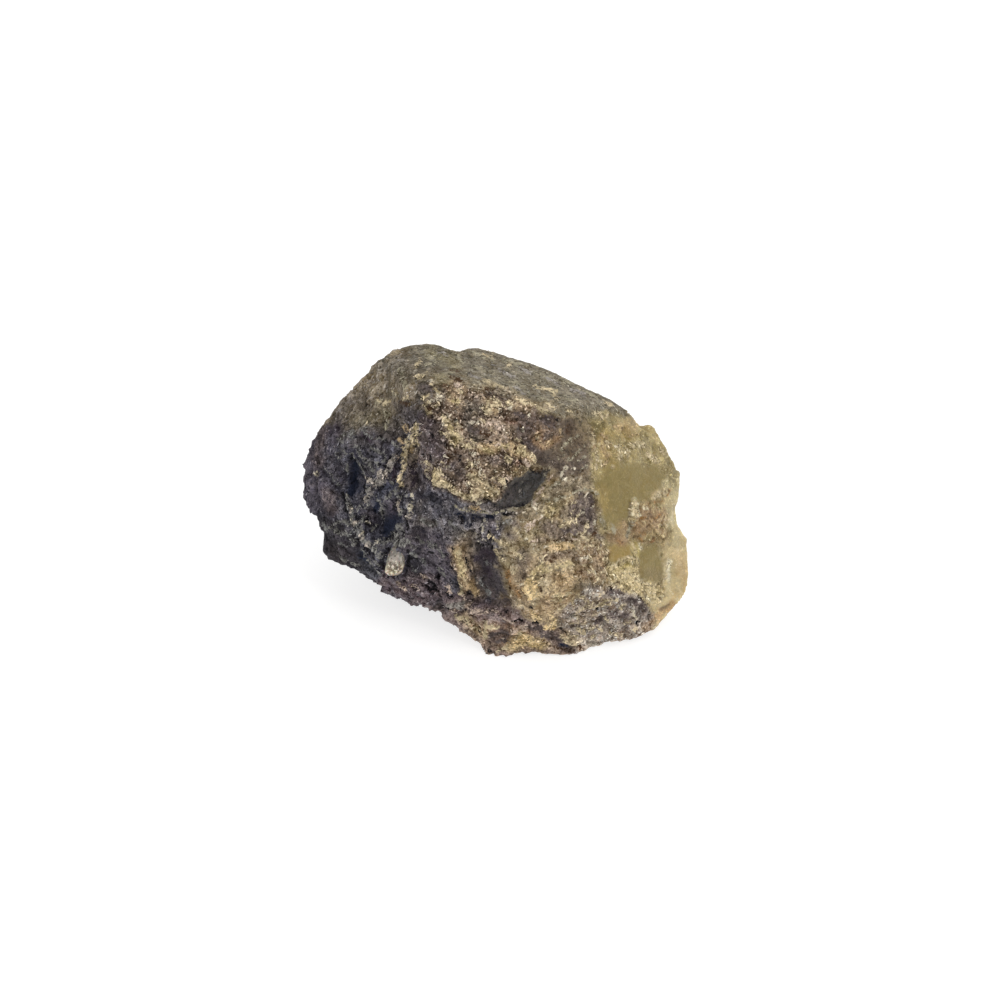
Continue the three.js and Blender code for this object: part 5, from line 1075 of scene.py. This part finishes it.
def rock_pattern(tree, places):
    """The rock's grains as a noise about a half: lumps, and worm-like strokes that are each a painted highlight beside
    painted shade, drawn out along its streaks.
    """
    bent = swirled(tree, places, 0.9, 0.9)

    def grains(where, size):
        lumps = noise_node(tree, where, size, detail=3, roughness=0.6).outputs["Fac"]
        waves = noise_node(tree, where, 1.9 * size, detail=1, roughness=0.4).outputs["Fac"]
        # lit and shaded: a painted highlight along one side of each wave's contour and painted shade along the other,
        # as on lit flakes
        lit = math_node(tree, "ABSOLUTE", math_node(tree, "SUBTRACT", waves, 0.535))
        shaded = math_node(tree, "ABSOLUTE", math_node(tree, "SUBTRACT", waves, 0.465))
        flakes = math_node(tree, "ADD", ramp(tree, lit, 0.0, 0.045, 0.20, 0.0), ramp(tree, shaded, 0.0, 0.045, -0.22, 0.0))
        return math_node(tree, "MULTIPLY_ADD", lumps, 0.70, math_node(tree, "ADD", flakes, 0.15))

    pattern = grains(bent, 0.30)
    for streaks, along in (("falls", FALLING), ("rises", RISING)):
        fibres = grains(drawn_out(tree, bent, along, 2.8), 0.27)
        share = math_node(tree, "MULTIPLY", attribute(tree, streaks), 0.9, clamp=True)
        pattern = blended(tree, share, pattern, fibres)
    return pattern


def rock_material():
    material, tree, shader, places = new_material("rock")
    patches = noise_node(tree, places, 1.6, detail=3).outputs["Fac"]
    pattern = math_node(tree, "ADD", rock_pattern(tree, places), centred(tree, patches, 0.25))
    gaps = noise_node(tree, swirled(tree, places, 0.6, 0.8), 0.45, detail=3, roughness=0.6).outputs["Fac"]
    grit = noise_node(tree, places, 0.24, detail=2, roughness=0.7).outputs["Fac"]
    hue = noise_node(tree, places, 1.3, detail=2).outputs["Fac"]
    calm = ramp(tree, attribute(tree, "wax"), 0.0, 1.0, 1.0, 0.2)
    # gap: painted shade in the gaps between the grains, less on waxy rock
    gap = math_node(tree, "MULTIPLY", ramp(tree, gaps, 0.46, 0.40), calm)
    # a middling base that turns warmer and cooler
    ground, grains = attribute(tree, "ground", "Color"), attribute(tree, "grains", "Color")
    tint = mixed(tree, ramp(tree, hue, 0.35, 0.65), (1.08, 1.00, 0.90, 1), (0.96, 0.99, 1.06, 1))
    ground = vector_node(tree, "MULTIPLY", ground, tint)
    grains = vector_node(tree, "MULTIPLY", grains, mixed(
        tree, ramp(tree, hue, 0.38, 0.62), (0.97, 0.99, 1.05, 1), (1.05, 1.00, 0.92, 1)))
    colour = mixed(tree, ramp(tree, patches, 0.3, 0.7, 0.12, 0.50), ground, grains)
    # how far the pattern is above the level that the zone's share of grains sets
    above = math_node(tree, "SUBTRACT", pattern, ramp(tree, attribute(tree, "share"), 0.0, 1.0, 0.72, 0.28))
    colour = mixed(tree, ramp(tree, above, -0.02, 0.05), colour, grains)
    # light: painted light and shade, multiplied into the colour below: speckle from the fine grit, and brighter grains
    # where the pattern stands high, both less on waxy rock
    coarse = math_node(tree, "MULTIPLY_ADD", attribute(tree, "rough"), 1.4, 1.6)
    light = math_node(tree, "ADD", centred(tree, grit, coarse), ramp(tree, above, 0.03, 0.24, 0.0, 0.5))
    light = math_node(tree, "MULTIPLY_ADD", light, calm, 1.0)
    # marks, broken into grains where they thin out, with painted shade in the gaps between the grains
    lumps = noise_node(tree, places, 0.7, detail=1, distortion=0.6).outputs["Fac"]
    edge = math_node(tree, "ADD", centred(tree, pattern, 0.9), centred(tree, lumps, 0.7))
    edge = math_node(tree, "MULTIPLY", edge, calm)
    soft = ramp(tree, attribute(tree, "wax"), 0.1, 0.8, 0.06, 0.25)

    def laid(kind):
        """A kind of mark's cover, crisp on rough rock and soft on waxy rock."""
        inside = math_node(tree, "ADD", attribute(tree, kind + " reach"), edge)
        return math_node(tree, "MULTIPLY_ADD", math_node(tree, "DIVIDE", inside, soft), 0.5, 0.45, clamp=True)

    uneven = vector_node(tree, "SCALE", attribute(tree, "pale", "Color"), scale=ramp(tree, hue, 0.3, 0.7, 1.10, 0.88))
    colour = mixed(tree, laid("pale"), colour, uneven)
    light = blended(tree, math_node(tree, "MULTIPLY", laid("pale"), 0.45), light, 1.0)
    colour = mixed(tree, math_node(tree, "MULTIPLY", gap, 0.9), colour, vector_node(tree, "SCALE", ground, scale=0.5))
    colour = mixed(tree, laid("dark"), colour, attribute(tree, "dark", "Color"))
    # painted shade in the relief's hollows and painted light on its heights, with colours made richer where they are
    # painted darker
    depth = ramp(tree, attribute(tree, "depth"), -0.24, 0.20, 0.58, 1.22)
    light = math_node(tree, "MULTIPLY", light, depth)
    colour = vector_node(tree, "SCALE", colour, scale=light)
    rich = add(tree, "ShaderNodeHueSaturation", {"Saturation": ramp(tree, light, 0.4, 1.1, 1.18, 1.0), "Color": colour})
    tree.links.new(rich.outputs[0], shader.inputs["Base Color"])
    wax = attribute(tree, "wax")
    roughness = math_node(tree, "ADD", ramp(tree, wax, 0.0, 1.0, 0.72, 0.38), centred(tree, grit, 0.3))
    tree.links.new(roughness, shader.inputs["Roughness"])
    shader.inputs["Specular IOR Level"].default_value = 0.14
    tree.links.new(math_node(tree, "MULTIPLY", wax, 0.5), shader.inputs["Subsurface Weight"])
    shader.inputs["Subsurface Radius"].default_value = (1.0, 0.75, 0.3)
    shader.inputs["Subsurface Scale"].default_value = 1.4 * MM
    bump_height = math_node(tree, "ADD", math_node(tree, "MULTIPLY", grit, 0.4),
                            math_node(tree, "MULTIPLY", pattern, 1.6))
    bump_height = math_node(tree, "MULTIPLY_ADD", gap, -0.35, bump_height)
    bump_height = math_node(tree, "MULTIPLY", bump_height, calm)
    bump = add(tree, "ShaderNodeBump", {"Height": bump_height, "Strength": 1.0, "Distance": 0.2 * MM})
    tree.links.new(bump.outputs[0], shader.inputs["Normal"])
    return material


def grain_material():
    material, tree, shader, places = new_material("tan_grain")
    on_mark = ramp(tree, attribute(tree, "pale reach"), -0.2, 0.05)
    shade = ramp(tree, attribute(tree, "shade"), 0.0, 1.0, blended(tree, on_mark, 0.35, 0.80), 1.45)
    mottle = noise_node(tree, places, 0.3, detail=3, roughness=0.6).outputs["Fac"]
    own = mixed(tree, on_mark, attribute(tree, "grains", "Color"), attribute(tree, "pale", "Color"))
    colour = vector_node(tree, "SCALE", own,
                         scale=math_node(tree, "MULTIPLY", shade, ramp(tree, mottle, 0.25, 0.75, 0.7, 1.2)))
    tree.links.new(colour, shader.inputs["Base Color"])
    shader.inputs["Roughness"].default_value = 0.6
    bump = add(tree, "ShaderNodeBump", {"Height": mottle, "Strength": 0.6, "Distance": 0.06 * MM})
    tree.links.new(bump.outputs[0], shader.inputs["Normal"])
    return material


def crystal_material():
    """Milky and grey at its upper end and golden below, with cloudy patches, and bright spots, most of them low on it,
    that are painted highlights.
    """
    material, tree, shader, places = new_material("clear_crystal")
    cloud = noise_node(tree, drawn_out(tree, places, UP, 1.5), 0.8, detail=3, roughness=0.6).outputs["Fac"]
    grains = noise_node(tree, places, 0.42, detail=2, roughness=0.6).outputs["Fac"]
    height = vector_node(tree, "DOT_PRODUCT", vector_node(tree, "SUBTRACT", places, tuple(MIDDLE)), tuple(UP))
    low = ramp(tree, height, -7.6, -9.2)
    dark = mixed(tree, low, (0.23, 0.205, 0.175, 1), (0.20, 0.150, 0.100, 1))
    pale = mixed(tree, low, (0.45, 0.410, 0.365, 1), (0.56, 0.460, 0.300, 1))
    colour = mixed(tree, ramp(tree, cloud, 0.40, 0.58), dark, pale)
    # painted highlights: bright glints, most of them low on the crystal
    painted_glints = math_node(tree, "MULTIPLY", ramp(tree, grains, 0.55, 0.60), ramp(tree, height, -7.0, -8.2, 0.25, 0.95))
    colour = mixed(tree, painted_glints, colour, (0.88, 0.820, 0.660, 1))
    colour = mixed(tree, ramp(tree, grains, 0.40, 0.36, 0.0, 0.8), colour, (0.09, 0.070, 0.045, 1))
    tree.links.new(colour, shader.inputs["Base Color"])
    shader.inputs["Roughness"].default_value = 0.2
    shader.inputs["IOR"].default_value = 1.54
    shader.inputs["Transmission Weight"].default_value = 0.25
    shader.inputs["Subsurface Weight"].default_value = 0.3
    shader.inputs["Subsurface Scale"].default_value = 0.8 * MM
    bump = add(tree, "ShaderNodeBump", {"Height": cloud, "Strength": 0.6, "Distance": 0.2 * MM})
    tree.links.new(bump.outputs[0], shader.inputs["Normal"])
    return material


# ---------------------------------------------------------------------------------------------
# The stone
# ---------------------------------------------------------------------------------------------

def finer_copy(node, voxel):
    """The solid's mesh, merged, rounded between its facets and divided evenly."""
    mesh = node.data.copy()
    mesh.materials.clear()
    work = bmesh.new()
    work.from_mesh(mesh)
    bmesh.ops.remove_doubles(work, verts=work.verts, dist=0.01 * MM)
    work.to_mesh(mesh)
    work.free()
    mesh.attributes.remove(mesh.attributes["sharp_face"]) if "sharp_face" in mesh.attributes else None
    copy = bpy.data.objects.new("finer", mesh)
    bpy.context.scene.collection.objects.link(copy)
    rounded = copy.modifiers.new("rounded", "SUBSURF")
    rounded.levels = rounded.render_levels = 2
    even = copy.modifiers.new("even", "REMESH")
    even.mode = "VOXEL"
    even.voxel_size = voxel * MM
    fine = bpy.data.meshes.new_from_object(copy.evaluated_get(bpy.context.evaluated_depsgraph_get()))
    bpy.data.objects.remove(copy)
    return fine


def shaded_smooth(piece):
    piece.data.shade_smooth()
    return piece


def make_stone(node):
    mesh = finer_copy(node, voxel=0.272)
    paint(mesh)
    stone = grown("stone", mesh, broken_surface_tree(), {"Material": rock_material()})
    shaded_smooth(stone)
    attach(stone, "root")
    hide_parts("rough_tourmaline")
    return stone


def strewn(name, stone, material, attribute_name, sizes):
    """One piece of bits strewn over the stone."""
    tree = strewn_tree(attribute_name, sizes)
    bits = grown(name, stone.data.copy(), tree, {"Material": material, **sizes})
    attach(bits, "root")
    return bits


def make_grains(stone):
    material = grain_material()
    strewn("tan_crumbs", stone, material, "crumb", {
        "Density": 5.0, "Nearest": 0.26, "Smallest": 0.07, "Largest": 0.20, "Length": 1.4, "Flatness": 0.45,
        "Tilt": 0.0, "Seed": 3})
    strewn("crust_flakes", stone, material, "flake", {
        "Density": 7.0, "Nearest": 0.30, "Smallest": 0.08, "Largest": 0.18, "Length": 2.3, "Flatness": 0.32,
        "Tilt": 0.9, "Seed": 9})
    strewn("pale_slivers", stone, material, "sliver", {
        "Density": 3.0, "Nearest": 0.35, "Smallest": 0.06, "Largest": 0.12, "Length": 3.2, "Flatness": 0.7,
        "Tilt": 0.0, "Seed": 4})


def surface_place(surface, across, up):
    """The point of the stone that shows at a place, and its normal, in metres."""
    frame_point = MIDDLE + ACROSS * across + UP * up
    eye = MIDDLE + ACROSS * EYE[0] + UP * EYE[1] + OUT * EYE[2]
    place, normal, _, _ = surface.ray_cast(eye * MM, (frame_point - eye).normalized())
    return place, normal


def make_crystal(stone):
    """A small milky crystal grown in the stone's lower left: a blunt six-sided drop."""
    surface = BVHTree.FromPolygons(
        [v.co for v in stone.data.vertices], [p.vertices for p in stone.data.polygons])
    place, _ = surface_place(surface, -13.05, -7.85)
    half_wide, half_long, half_thick, slant = 1.2, 1.95, 0.9, 0.16
    rings = [(-1.0, 0.50), (-0.8, 0.98), (-0.25, 1.08), (0.4, 0.90), (0.8, 0.66), (1.0, 0.36)]
    work = bmesh.new()
    corners = []
    for along, girth in rings:
        for side in range(6):
            turn = math.tau * (side + 0.25 + 0.12 * math.sin(5 * along + side)) / 6
            corners.append(ACROSS * (half_wide * girth * math.cos(turn) + slant * half_long * along)
                           + UP * (half_long * along) + OUT * (half_thick * girth * math.sin(turn)))
    for corner in corners:
        work.verts.new(place + corner * MM)
    bmesh.ops.convex_hull(work, input=work.verts)
    bmesh.ops.remove_doubles(work, verts=work.verts, dist=0.02 * MM)
    bmesh.ops.recalc_face_normals(work, faces=work.faces)
    mesh = bpy.data.meshes.new("clear_crystal")
    work.to_mesh(mesh)
    work.free()
    crystal = bpy.data.objects.new("clear_crystal", mesh)
    bpy.context.scene.collection.objects.link(crystal)
    bevel = crystal.modifiers.new("worn", "BEVEL")
    bevel.width = 0.08 * MM
    bevel.segments = 2
    mesh.materials.append(crystal_material())
    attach(crystal, "root")
    return crystal


# ---------------------------------------------------------------------------------------------
# Camera, floor and lights
# ---------------------------------------------------------------------------------------------

def make_camera():
    camera = bpy.data.cameras.new("camera")
    camera.lens = LENS
    camera.sensor_width = SENSOR
    camera.clip_end = 20
    stand = bpy.data.objects.new("camera", camera)
    bpy.context.scene.collection.objects.link(stand)
    stand.location = (MIDDLE + ACROSS * EYE[0] + UP * EYE[1] + OUT * EYE[2]) * MM
    stand.rotation_euler = OUT.to_track_quat("Z", "Y").to_euler()
    bpy.context.scene.camera = stand


def make_floor():
    half = 2000 * MM
    gap = 0.02 * MM
    mesh = bpy.data.meshes.new("floor")
    mesh.from_pydata([(-half, -half, -gap), (half, -half, -gap), (half, half, -gap), (-half, half, -gap)],
                     [], [(0, 1, 2, 3)])
    material = bpy.data.materials.new("floor")
    material.use_nodes = True
    shader = material.node_tree.nodes["Principled BSDF"]
    shader.inputs["Base Color"].default_value = (0.36, 0.36, 0.36, 1)
    shader.inputs["Emission Color"].default_value = (1, 1, 1, 1)
    shader.inputs["Emission Strength"].default_value = 0.74
    shader.inputs["Roughness"].default_value = 0.9
    shader.inputs["Specular IOR Level"].default_value = 0.0
    mesh.materials.append(material)
    floor = bpy.data.objects.new("floor", mesh)
    bpy.context.scene.collection.objects.link(floor)


def soft_light(name, place, size, power):
    light = bpy.data.lights.new(name, "AREA")
    light.size = size * MM
    light.energy = power
    stand = bpy.data.objects.new(name, light)
    bpy.context.scene.collection.objects.link(stand)
    stand.location = Vector(place) * MM
    stand.rotation_euler = (Vector(place) - MIDDLE).to_track_quat("Z", "Y").to_euler()


def make_lights():
    soft_light("key", (380, -260, 660), 460, 2.3)
    soft_light("top", (-80, 100, 700), 600, 1.2)
    world = bpy.data.worlds.new("studio")
    bpy.context.scene.world = world
    world.use_nodes = True
    tree = world.node_tree
    shown = tree.nodes["Background"]
    shown.inputs["Color"].default_value = (1, 1, 1, 1)
    shown.inputs["Strength"].default_value = 1.0
    lit = add(tree, "ShaderNodeBackground", {"Color": (1.0, 0.99, 0.97, 1), "Strength": 0.76})
    seen = add(tree, "ShaderNodeLightPath").outputs["Is Camera Ray"]
    mix = add(tree, "ShaderNodeMixShader", {0: seen, 1: lit.outputs[0], 2: shown.outputs[0]})
    tree.links.new(mix.outputs[0], tree.nodes["World Output"].inputs["Surface"])
    bpy.context.scene.view_settings.view_transform = "Standard"


make_camera()
make_floor()
make_lights()
stone = make_stone(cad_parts["rough_tourmaline"])
make_grains(stone)
make_crystal(stone)
